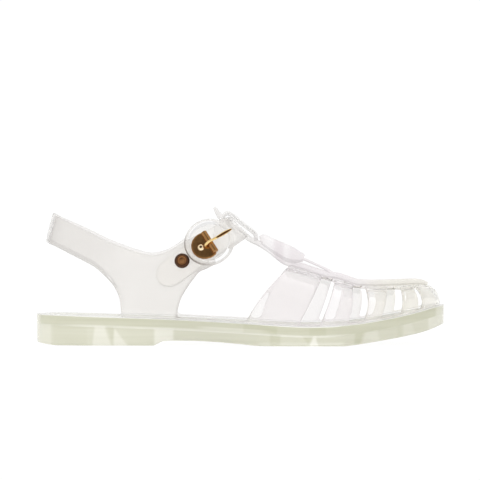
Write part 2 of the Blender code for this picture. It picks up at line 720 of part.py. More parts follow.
plate = new_object("buckle_plate", plate_mesh(SEAT), PARTS)
join_to(plate, new_object("plate_bar", bar_mesh(SEAT), TOOLS))
plate.data.materials.append(material("gold", (0.75, 0.52, 0.25), 0.2, 1.0))

prong_seat = SEAT @ Matrix.Translation((0, PRONG_DROP, 0))
prong = new_object("buckle_prong", rod_mesh(prong_seat, PRONG), PARTS)
prong.data.materials.append(material("prong_gold", (0.8, 0.58, 0.28), 0.2, 1.0))

dome_seat = SEAT @ Matrix.Translation((PLATE_RIVET_AT, 0, 0))
dome = new_object("plate_rivet", turned_mesh(dome_seat, PLATE_RIVET, PLATE_DEPTH + 2 * SEAT_GAP, 16), PARTS)
dome.data.materials.append(material("rivet_gold", (0.8, 0.6, 0.3), 0.2, 1.0))

rivet = new_object("strap_rivet", turned_mesh(seat_frame(RIVET_X, RIVET_Z), STRAP_RIVET, SEAT_GAP), PARTS)
rivet.data.materials.append(material("copper", (0.42, 0.2, 0.1), 0.3, 1.0))
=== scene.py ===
import math

import bmesh
import bpy
import numpy as np
from mathutils import Matrix, Vector
from mathutils.kdtree import KDTree


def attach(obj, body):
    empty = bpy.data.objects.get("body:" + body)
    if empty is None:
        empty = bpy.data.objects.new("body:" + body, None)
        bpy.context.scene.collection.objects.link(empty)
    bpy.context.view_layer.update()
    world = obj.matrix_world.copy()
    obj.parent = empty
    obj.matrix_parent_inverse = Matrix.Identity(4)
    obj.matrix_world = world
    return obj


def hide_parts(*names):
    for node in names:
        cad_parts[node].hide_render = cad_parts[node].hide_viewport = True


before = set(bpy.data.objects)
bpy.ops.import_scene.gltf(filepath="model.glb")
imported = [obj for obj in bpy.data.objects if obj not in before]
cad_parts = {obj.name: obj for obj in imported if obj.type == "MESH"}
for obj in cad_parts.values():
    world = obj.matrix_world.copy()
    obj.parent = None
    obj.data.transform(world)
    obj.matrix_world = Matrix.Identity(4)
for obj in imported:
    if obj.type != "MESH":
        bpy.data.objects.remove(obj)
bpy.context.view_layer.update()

# Driving sizes in millimetres
MM = 0.001
SOLE_LENGTH = 260.0
SEAT_GAP = 0.3
WALL = 2.2

# Sole
BAND_HEIGHT = 6.0
BAND_PROUD = 0.7
EDGE_ROUND = 0.8
FLOOR_ROUND = 1.2
FLOOR_ROUND_RISE = 0.84
STEP_ENDS = {"x": (0, 8, 26, 205, 240, 260), "share": (0.15, 0.4, 1, 1, 0.4, 0.15)}
FOOTBED_DEPTH = 0.8
FOOTBED_DISH = 0.8
FOOTBED_DISH_POWER = 1.5
INNER_EDGE = 5.5
TOP_EDGE = 0.24

# Rows over the band's step and the footbed's edge: inset, and height from the band's foot or the top
# line; rows up the band as shares of its height, down from the top line
STEP_ROWS = ((BAND_PROUD, -1.0), (0.6, -0.5), (0.25, -0.1), (0.0, 0.5))
BAND_ROWS = (0.8, 0.7, 0.6, 0.5, 0.4, 0.3)
FOOTBED_ROWS = ((5.9, 0.0), (6.5, -0.1), (8.1, -0.7), (8.7, -FOOTBED_DEPTH))

# Upper
UPPER_INSET = 2.5
RIM_HEIGHT = 1.3
SPINE_HALF = 5.5
SPINE_RISE = 1.2
VAMP_FULLNESS = 2.35
TOE_FULLNESS = 2.0
TOE_START = 205.0
LEAN_START = 40.0
LEAN_RATE = 0.0095
LEAN_RUN = 50.0
HEEL_LEAN = 0.35
STRAP_DEPTH = 3.1
TAIL_LENGTH = 42.0
STRAP_HALF = 9.0
STRAP_SLOPE = math.radians(33.0)
TAIL_SLOPE = math.radians(36.0)
TAIL_TIP = 0.04

# Buckle
BUCKLE_X = 110.4
BUCKLE_Z = 64.9
RING_RADIUS = 14.3
RING_WIDTH = 3.5
RING_DEPTH = 2.8
RING_LIFT = 0.7
PLATE_RADIUS = 9.2
PLATE_AT = -3.0
PLATE_DEPTH = 1.0
BAR_RADIUS = 2.0
BAR_AT = 0.3
BAR_HALF = 8.0
PLATE_RIVET_AT = -6.2
PRONG_DROP = -1.0
RIVET_X = 92.9
RIVET_Z = 53.9
PLATE_CROWN = 0.25
PLATE_EDGE = 0.4
BAR_END = 0.6
BAR_END_TAPER = 0.3
RING_SOFT = 0.8

# Painted dark reflection on the ring, a crescent: its middle, half its sweep, how far out on the section it
# starts and fills
CRESCENT_AT = math.radians(185.0)
CRESCENT_HALF = math.radians(70.0)
CRESCENT_EDGE = 0.4
CRESCENT_RATE = 1.6

# How finely each piece is divided, and small lengths used in drawing it
SOLE_STATIONS = 480
LOW_ROWS = 9
SOLE_ACROSS = 14
COLUMNS_HEEL = 14
COLUMNS_WING = 14
COLUMNS_ARCH = 12
COLUMNS_TAIL = 10
ROWS_BAND = 5
ROWS_TRUNK = 9
ROWS_VAMP = 16
COLUMNS_ARM = 4
COLUMNS_RIM = 8
RIM_FINE = 240
UPPER_ROUNDS = 2
BAR_STEPS = 6
BAR_SIDES = 28
BAR_ROUND = 0.72
ROUND_STEPS = 6
RING_STEPS = 96
RING_SIDES = 28
PLATE_STEPS = 72
PLATE_ROUND = 4
PLATE_RINGS = 9
ROLL_STEPS = 5
ROLL_SIDES = 36
PRONG_STEPS = 6
PRONG_SIDES = 20
RIVET_STEPS = 40
RIVET_SIDES = 64
EDGE_SPACING = 0.5
SEAT_REACH = 0.5
LOOK_AHEAD = 0.01
LEAST_RADIUS = 0.05

# Angles in degrees past which an edge stays crisp
UPPER_CREASE = 48
SOLE_CREASE = 60
METAL_CREASE = 60
PLATE_CREASE = 35

# Tolerances: points taken as one in metres; then, in millimetres, points joined and slivers dropped in
# the sheet, and slivers closed after bars run in
SAME_POINT = 2e-5
SHEET_JOIN = 0.02
SHEET_SLIVER = 0.01
SLIVER = 0.015

# How deep the clear plastic looks, from 0 for clear to 2: walls by place, painted lighter towards the sole,
# the hidden tail, bars, and painted shade along edges, where bars face down, in joints, on the wing's front
# line and over the strap's crossing, and painted light and shade for the knot's folds
# Painted shade along the free edges reaches this far; the edge column of BODY_SHADE gives its depth
EDGE_REACH = 2.6
BODY_SHADE = {
    "x":       (0, 35, 60, 100, 140, 240, 250),
    "lateral": (0.75, 0.7, 0.48, 0.48, 0.26, 0.22, 0.0),
    "medial":  (0.75, 0.6, 0.32, 0.3, 0.06, 0.06, 0.0),
    "edge":    (1.1, 1.1, 1.1, 1.1, 1.1, 0.9, 0.6),
}
# Walls are painted lighter towards the sole, over this reach and down to this share of their tone
FOOT_REACH = 5.0
FOOT_SHADE = 0.2
TAIL_SHADE = (0.0, 0.6)
TAIL_DEPTH = 2.65
TAIL_ROOM = {"x": (60, 113), "y": -12, "z": (30, 82)}
# Bars' tint, and deeper where they face down, a painted shade
BAR_SHADE = (0.9, 1.3)
JOINT_SHADE = 1.0
FRONT_POINTS = 60
FRONT_REACH = 1.6
FRONT_SHADE = 2.2
CROSSING_FLOOR = 62.0
CROSSING_HALF = 16.0
CROSSING_SHADE = 0.8
# Painted light and shade for the knot's folds, lifted along the shoe
KNOT_FOLD_SHADING = {
    "x":    (116, 120, 134, 139, 144, 147, 150, 153, 156, 159, 163, 168, 172),
    "lift": (0, -0.5, -0.5, 0, -0.2, -0.7, -0.6, 0.5, 0.4, -0.4, 0.2, 0.1, 0),
}

# Where the warm grey of the heel strap gives way to the lilac of the vamp, and that to the toe, in metres
HEEL_TINT_END = 0.004
VAMP_TINT_START = 0.02
VAMP_TINT_END = 0.065
TOE_TINT_START = 0.1

# Colours: the clear plastic where it is clear and where it is deep, by tint and by painted shade, the sole,
# the ring and the metals
STRAP_GREY = ((0.99, 0.98, 0.965, 1), (0.77, 0.75, 0.735, 1))
VAMP_LILAC = ((0.995, 0.98, 0.98, 1), (0.8, 0.745, 0.765, 1))
TOE_OLIVE = ((0.995, 0.985, 0.955, 1), (0.79, 0.755, 0.665, 1))
SOLE_OLIVE = ((0.63, 0.63, 0.47, 1), (0.95, 0.94, 0.845, 1))
FOOTBED_PALE = (0.95, 0.945, 0.905, 1)
RING_CLEAR = ((0.97, 0.965, 0.96, 1), (0.99, 0.985, 0.98, 1))
RING_PAINTED_DARK = (0.2, 0.16, 0.13, 1)
BROWN_GOLD = ((0.3, 0.14, 0.05, 1), (0.48, 0.26, 0.1, 1))
PRONG_GOLD = ((0.95, 0.7, 0.32, 1), (0.12, 0.05, 0.02, 1))
DOME_GOLD = ((0.2, 0.1, 0.05, 1), (1.0, 0.83, 0.55, 1))
COPPER = ((0.31, 0.15, 0.062, 1), (0.09, 0.045, 0.027, 1))
FLOOR_GREY = ((0.08, 0.08, 0.08, 1), (0.1, 0.1, 0.1, 1))
WHITE = (1, 1, 1, 1)

# Camera, in metres and radians
CAMERA_LENS = 800.0
SENSOR_WIDTH = 36.0
CAMERA_SPAN = 0.3066
CAMERA_RISE = math.radians(1.8)
CAMERA_TARGET = (-0.0003, 0.0, 0.0663)

# Studio: white all round, dimmer where it is mirrored, and a dark wall above and behind the camera
DARK_WALL = (-0.22, -0.66, 0.72)
DARK_WALL_SPAN = (0.93, 1.0)
MIRRORED_LIGHT = 0.85
MIRRORED_DARK = 0.18
ROOM_LIGHT = 1.04
TABLE_LIGHT = 0.94
TABLE_HALF = 6.0

SOLE_PLAN = {
    "x":       (0, 5, 16, 40, 70, 100, 130, 155, 178, 200, 220, 238, 251, 260),
    "lateral": (0, -17, -27, -31.5, -32, -34, -38.5, -42.5, -44.5, -43.5, -39, -29.5, -16, 7),
    "medial":  (0, 17, 27, 31, 29.5, 28.5, 32, 37.5, 42.5, 45, 44, 39, 29.5, 7),
}
SOLE_BOTTOM = {
    "x": (0, 6, 13, 74, 81, 88, 96, 112, 128, 144, 195, 202, 210, 218, 233, 248, 260),
    "z": (1.6, 0.7, 0, 0, 2.8, 3.2, 3.2, 2.6, 1.4, 0, 0, 0.8, 1.9, 3.2, 5.7, 8.9, 13),
}
SOLE_TOP = {
    "x": (0, 12, 34, 55, 75, 98, 112, 130, 145, 160, 172, 185, 195, 209, 220, 232, 245, 254, 260),
    "z": (19.3, 19.2, 18.6, 17.9, 17.2, 16.2, 15.5, 14.5, 13.6, 12.7, 12.3, 12.5, 13.2, 14.8, 16.6, 18.8,
          21.6, 23.8, 25),
}

# Painted light and shade on the sole's side, drawn in: pale windows and a glint for light through the thick
# plastic, painted shadows and dark wedges; from where to where each runs at the foot and at the top, and
# its tone, from 0 for the deepest olive to 1 for the palest
SOLE_GROUND = 0.46
SOLE_PAINTED_LIGHT = (
    ("heel end", (-5, 10), (-5, 10), 0.7),
    ("heel shade", (10, 33), (10, 33), 0.38),
    ("heel window", (35, 48.5), (36.5, 44.5), 0.84),
    ("heel wedge", (48.5, 48.5), (44.5, 51), 0.3),
    ("slim window", (48.5, 59), (49, 50.5), 0.85),
    ("breast window", (74.5, 88), (74.5, 88), 0.92),
    ("arch shadow", (148, 156), (148, 156), 0.22),
    ("ball wedge", (173, 173), (169.5, 176), 0.2),
    ("ball glint", (173, 180), (175.5, 178.5), 1.1),
    ("toe wedge", (201.5, 206.5), (202, 208.5), 0.15),
    ("toe window", (206.5, 219), (208.5, 218), 0.7),
    ("toe dark line", (229, 233), (229, 233), 0.36),
    ("toe side", (233, 242), (233, 240), 0.64),
    ("toe end", (249, 265), (249, 265), 0.78),
)
# The band's own painted light and shade over its ground
BAND_GROUND = 0.24
BAND_PAINTED_LIGHT = (
    ("heel end", (-5, 3), (-5, 3), 0.6),
    ("arch shadow", (131, 154), (131, 154), 0.05),
    ("ball shadow", (173, 185), (173, 185), 0.1),
    ("toe end", (254, 265), (254, 265), 0.6),
)
# A painted streak of light along the band, and a painted highlight along its step
BAND_STREAK = {"x": (100, 112, 140, 152), "lift": (0, 0.35, 0.4, 0)}
STEP_LINE = {"x": (12, 35, 180, 200), "lift": (0, 0.45, 0.45, 0)}
STEP_LINE_HALF = 0.7
PAINTED_LIGHT_SOFT = 1.4
SIDE_TONE_END = 1.1
TOP_TONE = 2.0
STREAK_STRETCH = (14.0, 14.0, 420.0)
STREAK_TOP = 3.0
STREAK_FOOT = 5.0

# Heel strap and wing edges as seen from the side
BAND_UPPER = {
    "x": (10.2, 14.7, 22.4, 33.9, 45.4, 56.9, 64.5, 74, 80, 85, 90, 95, 100, 105),
    "z": (84, 81.2, 77.8, 72.5, 66.8, 62.3, 59.8, 57.8, 59, 61, 64.1, 67.2, 69.8, 72.1),
}
BAND_LOWER = {
    "x": (5.4, 14.7, 22.4, 30, 37.7, 41.5, 52, 62, 72, 82, 93, 103.7, 110, 115),
    "z": (65.1, 61.2, 57.4, 53.7, 49.6, 46.3, 42.5, 40.5, 40, 41.2, 43.4, 47.2, 49.8, 53),
}
MEDIAL_LIFT = {"x": (85, 93, 98, 106.2), "z": (0, 0.4, 2.2, 3.6)}
TRUNK_REAR = {"x": (54, 53, 49.2, 45.4, 41.5), "z": (19, 28.9, 37.8, 42.3, 46.3)}
TRUNK_FRONT = {"x": (89.4, 91.3, 96.5, 101, 103.7), "z": (18, 27.7, 37.4, 43.6, 47.2)}

# Where columns of the strap stand, at its lower and at its upper edge
HEEL_BACK = (5.4, 10.2)
WING_REAR = (41.5, 46.0)
WING_FRONT = (103.7, 93.0)
ARM_END = (114.8, 106.2)
STRAP_START_LOWER = (117.0, 58.2)
STRAP_START_UPPER = (106.4, 72.4)
CROSS_LOWER = (135.8, 69.2)
CROSS_UPPER = (123.1, 81.9)

# Edges of the vamp strips: where each leaves the spine and where it meets the rim
VAMP_EDGES = {
    "name":    ("rear", "gap1", "strip2", "gap2", "strip3", "gap3", "strip4", "gap4", "toe", "tip"),
    "spine":   (160, 182, 190, 201.7, 209.6, 223.5, 232, 239.6, 241.4, 246),
    "lateral": (133.5, 167.2, 180.6, 198.5, 208.3, 220, 232.6, 243.2, 246, SOLE_LENGTH),
    "medial":  (143, 180, 190, 206.2, 214.5, 228.6, 236, 242.6, 247.8, SOLE_LENGTH),
    "shift":   (0, 7, 6, 5.6, 5.4, 5.4, 2.5, 0, 0.6, 0),
    "bow":     (-2.8, 0.3, 0.5, 1.4, 2, 1, 1, 1.5, 1.5, 0),
    "split":   (8, 4, 5, 4, 5, 4, 4, 2, 10, 1),
}
VAMP_GAPS = ("gap1", "gap2", "gap3", "gap4")
SPINE_EDGE = {
    "x": (160, 170, 182, 190, 203, 219, 230, 240, 247),
    "z": (49.4, 47, 43.4, 41, 37.5, 36.2, 36.2, 36.8, 37.2),
}
SPINE_SIDE = {"x": (160, 200, 225, 247), "y": (0.5, 2.0, 4.0, 6.0)}

# Bars lofted along the middle of the shoe: x, centre height, width, depth
SPINE_BEAD = (
    (163, 51.2, 8, 4.0), (170, 49.3, 9.5, 4.2), (178, 46.6, 9.5, 4.2), (186, 44.2, 9.5, 4.0),
    (192, 43.4, 9.5, 4.2), (198.7, 41.4, 9.5, 4.2), (204, 39.5, 9.5, 4.2), (214, 38.9, 9.5, 4.2),
    (228, 39.1, 9.5, 4.2), (240, 39.6, 9.0, 4.0), (246, 39.2, 8.0, 3.4), (249.5, 38, 6.0, 2.4),
)
SPINE_BRIDGE = (
    (166, 55.8, 8, 1.8), (171, 53.9, 8, 1.8), (176, 51.7, 8, 1.6), (182, 49.0, 8, 1.6),
    (187, 46.2, 8, 2.2), (190, 44, 7, 2.0),
)
THROAT_KNOT = (
    (142.4, 66.4, 12, 2.6), (144.4, 66.8, 15, 6.4), (150, 63.5, 17.5, 7.9), (157, 59.5, 18.5, 9.8),
    (163, 56.6, 18.5, 10.0), (168.2, 55.4, 17, 6.6), (170.4, 54.6, 15, 4.4),
)
T_BAR = (
    (172, 48.6, 8, 2.4), (165, 50.6, 8.6, 2.8), (160, 51.4, 11, 3.0), (156.3, 53.5, 13.5, 3.0),
    (148.8, 59.7, 14, 3.2), (142, 64.2, 14, 3.4), (136.4, 66.9, 14, 3.4), (129.6, 71.8, 14, 3.4),
    (121.8, 77.4, 14, 3.3), (117.4, 81, 12, 3.6), (115, 84.4, 8, 3.0), (113.3, 87.1, 3.0, 1.8),
)
LOOP_BAND = (
    (140.2, 65.0, 12.6, 2.2), (140.1, 68.6, 14.2, 2.4), (138.5, 71.4, 14.8, 2.4), (131, 77.2, 14.8, 2.4),
    (123.8, 83, 14.8, 2.4), (120.5, 83.3, 13.6, 2.4), (118.0, 80.2, 10.6, 2.2),
)
BAR_SAG = 0.9
BAR_SAG_AT = 7.0
BAR_UP_LEAN = 0.2

# Prong: place along the strap, height and radius
PRONG = (
    (-3.4, 2.9, 0.95), (-2.2, 4.2, 0.95), (0.2, 5.4, 0.9), (3, 5.1, 0.8), (6.5, 4.9, 0.95),
    (10.5, 4.9, 1.15), (14.2, 4.8, 0.9), (16.4, 4.6, 0.4),
)

# Where the prong's painted dark reflection along its upper side starts, how soon it is full, and which way
# it faces
DARK_REFLECTION_START = 3.5
DARK_REFLECTION_RUN = 2.5
DARK_REFLECTION_FACING = math.radians(114.0)

# Where each marked metal turns from its first colour to its second, and half the width of the turn
DARK_REFLECTION_TURN = 0.6
DOME_TURN = 0.42
DISH_TURN = 0.7
TURN_HALF = 0.1

# Rivets: radius and height
STRAP_RIVET = (
    (0.0, 0.0), (4.5, 0.0), (4.5, 1.0), (3.9, 1.6), (3.2, 1.6), (2.7, 0.9), (2.0, 0.75), (1.6, 1.1),
    (0.0, 1.2),
)
PLATE_RIVET = ((0.0, 0.0), (2.1, 0.0), (2.0, 0.45), (1.3, 1.0), (0.0, 1.2))


def between(first, last, share):
    return first + (last - first) * share


def held(value, low=0.0, high=1.0):
    return min(max(value, low), high)


def eased(value):
    """A share held from 0 to 1 that starts and stops gently."""
    share = held(value)
    return share * share * (3 - 2 * share)


def follow(table, at, value="z", key="x"):
    """Value of one table column at a place along another, by a monotone cubic."""
    xs = np.asarray(table[key], float)
    ys = np.asarray(table[value], float)
    if xs[0] > xs[-1]:
        xs, ys = xs[::-1], ys[::-1]
    step = np.diff(xs)
    rise = np.diff(ys) / step
    slope = np.zeros_like(ys)
    slope[0], slope[-1] = rise[0], rise[-1]
    for k in range(1, len(xs) - 1):
        if rise[k - 1] * rise[k] > 0:
            a, b = 2 * step[k] + step[k - 1], step[k] + 2 * step[k - 1]
            slope[k] = (a + b) / (a / rise[k - 1] + b / rise[k])
    at = float(held(at, xs[0], xs[-1]))
    k = min(int(np.searchsorted(xs, at, side="right")) - 1, len(xs) - 2)
    t = (at - xs[k]) / step[k]
    return ((1 + 2 * t) * (1 - t) ** 2 * ys[k] + t * (1 - t) ** 2 * step[k] * slope[k]
            + t * t * (3 - 2 * t) * ys[k + 1] + t * t * (t - 1) * step[k] * slope[k + 1])


def along(points, share):
    """Point at a share of the way along a curve drawn smoothly through a few points."""
    points = [Vector(p) for p in points]
    place = held(share) * (len(points) - 1)
    k = min(int(place), len(points) - 2)
    t = place - k
    before = points[k - 1] if k else points[0] * 2 - points[1]
    after = points[k + 2] if k + 2 < len(points) else points[-1] * 2 - points[-2]
    here, there = points[k], points[k + 1]
    return 0.5 * (2 * here + (there - before) * t + (2 * before - 5 * here + 4 * there - after) * t * t
                  + (3 * here - before - 3 * there + after) * t ** 3)


def heading(path, share):
    return (along(path, share + LOOK_AHEAD) - along(path, share - LOOK_AHEAD)).normalized()


def full_turn(count):
    return [2 * math.pi * k / count for k in range(count)]


def quarter_turn(count):
    return [math.pi / 2 * k / count for k in range(count + 1)]


def soft_section(count, power):
    """Points round a section between an ellipse and a box, from -1 to 1 each way."""
    return [[math.copysign(abs(part) ** power, part) for part in (math.cos(turn), math.sin(turn))]
            for turn in full_turn(count)]


def turn_of(x):
    """Angle round the outline that stands for a distance from the heel."""
    return math.acos(1 - 2 * held(x, 0.0, SOLE_LENGTH) / SOLE_LENGTH)


PLAN_BY_TURN = {**SOLE_PLAN, "turn": [turn_of(x) for x in SOLE_PLAN["x"]]}


def outline_point(side, turn):
    x = SOLE_LENGTH / 2 * (1 - math.cos(turn))
    return Vector((x, follow(PLAN_BY_TURN, turn, side, "turn")))


def outline_ring(count, inset, fading=False):
    """Closed sole outline: heel back, lateral side, toe tip, medial side, moved inward.

    A fading inset runs out toward the heel's back and the toe."""
    turns = [math.pi * k / count for k in range(count + 1)]
    ring = [outline_point("lateral", t) for t in turns]
    ring += [outline_point("medial", t) for t in turns[-2:0:-1]]
    moved = []
    for k, point in enumerate(ring):
        ahead = ring[(k + 1) % len(ring)] - ring[k - 1]
        inward = Vector((-ahead.y, ahead.x)).normalized()
        share = follow(STEP_ENDS, point.x, "share") if fading else 1.0
        moved.append(point + inward * inset * share)
    return moved


# From the heel's back, where the tables start, to the frame's middle
SHIFT = Vector((-130.0, -0.24, 0.0))
RIM_RING = outline_ring(RIM_FINE, UPPER_INSET)
RIM_SIDE = {"lateral": RIM_RING[:RIM_FINE + 1], "medial": [RIM_RING[0]] + RIM_RING[:RIM_FINE - 1:-1]}


def rim_place(side, x):
    """Place along one side of the rim, counted in its own steps, at a distance from the heel."""
    run = RIM_SIDE[side]
    for k, (here, there) in enumerate(zip(run, run[1:])):
        if here.x <= x <= there.x:
            return k + (x - here.x) / max(there.x - here.x, 1e-9)
    return len(run) - 1.0


def rim_at(side, place):
    run = RIM_SIDE[side]
    k = min(int(place), len(run) - 2)
    return run[k].lerp(run[k + 1], place - k)


def rim_point(side, x):
    """Where the outer face of the rim stands on the sole at a distance from the heel."""
    return rim_at(side, rim_place(side, x))


def rim_seat(x):
    return follow(SOLE_TOP, x) + SEAT_GAP


def wall_reach(side, x, z):
    """How far from the middle the side wall stands: it leans inward as it rises."""
    reach = abs(rim_point(side, x).y)
    share = between(HEEL_LEAN, 1, eased((x - WING_REAR[1]) / LEAN_RUN))
    return reach - share * LEAN_RATE * max(z - LEAN_START, 0.0) ** 2


def sign_of(side):
    return -1.0 if side == "lateral" else 1.0


def wall_point(side, x, z, depth=0.0):
    return Vector((x, sign_of(side) * (wall_reach(side, x, z) - depth), z))


def blend_rows(lower, upper, rows):
    return [lower.lerp(upper, k / rows) for k in range(rows + 1)]


def upper_edge(side, x):
    """Height of the strap's upper edge; the medial side rises sooner toward the instep."""
    return follow(BAND_UPPER, x) + (follow(MEDIAL_LIFT, x) if side == "medial" else 0.0)


def band_columns(side, starts, ends, count):
    """Columns of the strap along one wall, each from its lower edge to its upper edge."""
    columns = []
    for k in range(count + 1):
        low_x, up_x = (between(start, end, k / count) for start, end in zip(starts, ends))
        low = Vector((low_x, 0, follow(BAND_LOWER, low_x)))
        up = Vector((up_x, 0, upper_edge(side, up_x)))
        columns.append([wall_point(side, p.x, p.z) for p in blend_rows(low, up, ROWS_BAND)])
    return columns


def wing_columns(side):
    """Columns across the wing, from the heel strap to the arm."""
    return band_columns(side, WING_REAR, WING_FRONT, COLUMNS_WING)


def arm_columns(side):
    """Columns from the front of the wing up the arm to the buckle."""
    return band_columns(side, WING_FRONT, ARM_END, COLUMNS_ARM)


def heel_columns(side):
    """Columns of the heel strap from the middle of the back round to the wing."""
    end_low, end_up = follow(BAND_LOWER, WING_REAR[0]), follow(BAND_UPPER, WING_REAR[1])
    columns = []
    for swing in quarter_turn(COLUMNS_HEEL):
        low_x, up_x = (between(front, back, math.cos(swing)) for back, front in zip(HEEL_BACK, WING_REAR))
        low_z, up_z = follow(BAND_LOWER, low_x), follow(BAND_UPPER, up_x)
        column = []
        for row in range(ROWS_BAND + 1):
            share = row / ROWS_BAND
            back, front = between(*HEEL_BACK, share), between(*WING_REAR, share)
            x = between(front, back, math.cos(swing))
            reach = wall_reach(side, front, between(end_low, end_up, share))
            column.append(Vector((x, sign_of(side) * reach * math.sin(swing), between(low_z, up_z, share))))
        columns.append(column)
    return columns


def arch_columns(side):
    """Columns of the ankle strap from the arm's end over the instep to the loop."""
    starts = arm_columns(side)[-1]
    if side == "lateral":
        low, up = (Vector((x, 0, z)) for x, z in (STRAP_START_LOWER, STRAP_START_UPPER))
        starts = [wall_point(side, p.x, p.z, STRAP_DEPTH) for p in blend_rows(low, up, ROWS_BAND)]
    low_top, up_top = (Vector((x, 0, z)) for x, z in (CROSS_LOWER, CROSS_UPPER))
    columns = []
    for swing in quarter_turn(COLUMNS_ARCH):
        column = []
        for start, top in zip(starts, blend_rows(low_top, up_top, ROWS_BAND)):
            rise = start.lerp(top, math.sin(swing))
            column.append(Vector((rise.x, start.y * math.cos(swing), rise.z)))
        columns.append(column)
    return columns


def tail_columns():
    """Columns of the strap's tail inside the lateral wing, with a rounded tip."""
    run = Vector((math.cos(TAIL_SLOPE), 0, math.sin(TAIL_SLOPE)))
    across = Vector((-math.sin(TAIL_SLOPE), 0, math.cos(TAIL_SLOPE)))
    middle = (Vector(STRAP_START_LOWER) + Vector(STRAP_START_UPPER)) / 2
    columns = []
    for swing in quarter_turn(COLUMNS_TAIL)[1:]:
        back = TAIL_LENGTH * math.sin(swing)
        tip = max(back - (TAIL_LENGTH - STRAP_HALF), 0.0) / STRAP_HALF
        half = STRAP_HALF * math.sqrt(max(1 - tip * tip, TAIL_TIP))
        centre = Vector((middle.x, 0, middle.y)) - run * back
        rows = blend_rows(centre - across * half, centre + across * half, ROWS_BAND)
        columns.append([wall_point("lateral", p.x, p.z, STRAP_DEPTH) for p in rows])
    return columns


def bow_of(edge, rise):
    """How far forward of a straight line an upright edge of the wing stands, at a share of its height."""
    x, z = (between(edge[key][0], edge[key][-1], rise) for key in ("x", "z"))
    return follow(edge, z, "x", "z") - x


def trunk_grid(side):
    """Wing below the strap, down to the top of the rim."""
    grid = []
    for k, (head, *_) in enumerate(wing_columns(side)):
        share = k / COLUMNS_WING
        foot_x = between(TRUNK_REAR["x"][0], TRUNK_FRONT["x"][0], share)
        foot_z = rim_seat(foot_x) + RIM_HEIGHT
        column = []
        for row in range(ROWS_TRUNK):
            rise = row / ROWS_TRUNK
            bow = bow_of(TRUNK_REAR, rise) * (1 - share) + bow_of(TRUNK_FRONT, rise) * share
            x, z = between(foot_x, head.x, rise) + bow, between(foot_z, head.z, rise)
            column.append(wall_point(side, x, z))
        grid.append(column + [head])
    return grid


def rim_grid(side):
    """Low rim that stands on the sole from the back of the wing to the toe tip."""
    reach = [column[0].x for column in trunk_grid(side)]
    reach += [between(reach[-1], VAMP_EDGES[side][0], k / COLUMNS_RIM) for k in range(1, COLUMNS_RIM)]
    feet = [rim_point(side, x) for x in reach]
    feet += [foot for _, foot, _, _, _ in vamp_columns(side)]
    grid = []
    for foot in feet:
        seat = rim_seat(foot.x)
        grid.append([Vector((foot.x, foot.y, seat)), Vector((foot.x, foot.y, seat + RIM_HEIGHT))])
    return grid


def vamp_columns(side):
    """Spine place, foot on the rim, medial shift, bow and strip name of every column of the vamp."""
    columns = []
    feet = [rim_place(side, x) for x in VAMP_EDGES[side]]
    rows = list(zip(VAMP_EDGES["spine"], feet, VAMP_EDGES["shift"], VAMP_EDGES["bow"]))
    for k, split in enumerate(VAMP_EDGES["split"]):
        ahead = rows[min(k + 1, len(rows) - 1)]
        for part in range(split):
            spine, place, shift, bow = (a + (b - a) * part / split for a, b in zip(rows[k], ahead))
            columns.append((spine, rim_at(side, place), shift, bow, VAMP_EDGES["name"][k]))
    return columns


def spine_point(x, side=None):
    edge_z = follow(SPINE_EDGE, x)
    middle = follow(SPINE_SIDE, x, "y")
    if side is None:
        return Vector((x, middle, edge_z + SPINE_RISE))
    return Vector((x, middle + sign_of(side) * SPINE_HALF, edge_z))


def vamp_grid(side):
    """Vamp from the top of the rim up to the edge of the spine, then to its middle."""
    grid = []
    tip = RIM_SIDE[side][-1].x
    for spine_x, foot, shift, bow, name in vamp_columns(side):
        seat = rim_seat(foot.x) + RIM_HEIGHT
        top = spine_point(spine_x + (shift if side == "medial" else 0.0), side)
        if name == "tip":
            top = spine_point(spine_x)
        toe = max((foot.x - TOE_START) / (tip - TOE_START), 0.0) ** 2
        power = 2 / between(VAMP_FULLNESS, TOE_FULLNESS, toe)
        column = []
        for swing in quarter_turn(ROWS_VAMP):
            rise = math.sin(swing) ** power
            inward = 1 - max(math.cos(swing), 0.0) ** power
            x = between(foot.x, top.x, rise * (1 - toe) + inward * toe)
            x += bow * 4 * rise * (1 - rise)
            column.append(Vector((x, between(foot.y, top.y, inward), between(seat, top.z, rise))))
        column.append(spine_point(spine_x))
        grid.append((name, column))
    return grid


def piece_from(name, bm):
    """One object in the scene from a mesh in millimetres."""
    bmesh.ops.recalc_face_normals(bm, faces=bm.faces)
    bmesh.ops.scale(bm, vec=(MM, MM, MM), verts=bm.verts)
    bmesh.ops.translate(bm, vec=SHIFT * MM, verts=bm.verts)
    mesh = bpy.data.meshes.new(name)
    bm.to_mesh(mesh)
    bm.free()
    made = bpy.data.objects.new(name, mesh)
    bpy.context.scene.collection.objects.link(made)
    return made


def settle(piece, crease=None):
    """Work the piece's modifiers into its mesh and shade it smooth, but for creases."""
    graph = bpy.context.evaluated_depsgraph_get()
    mesh = bpy.data.meshes.new_from_object(piece.evaluated_get(graph))
    piece.modifiers.clear()
    piece.data = mesh
    mesh.shade_smooth()
    if crease:
        mesh.set_sharp_from_angle(angle=math.radians(crease))
    return piece


def run_into(piece, bar):
    """Make a bar one with the piece it runs into."""
    grown = piece.modifiers.new(bar.name, "BOOLEAN")
    grown.operation, grown.solver, grown.object = "UNION", "EXACT", bar
    settle(piece)
    bpy.data.objects.remove(bar, do_unlink=True)


def mend_joints(piece):
    """Close the slivers that are left where bars run in."""
    bm = bmesh.new()
    bm.from_mesh(piece.data)
    for _ in range(2):
        bmesh.ops.remove_doubles(bm, verts=bm.verts, dist=SLIVER * MM)
        bmesh.ops.dissolve_degenerate(bm, edges=bm.edges, dist=SLIVER * MM)
        bmesh.ops.triangulate(bm, faces=[f for f in bm.faces if len(f.verts) > 4])
    bm.to_mesh(piece.data)
    bm.free()


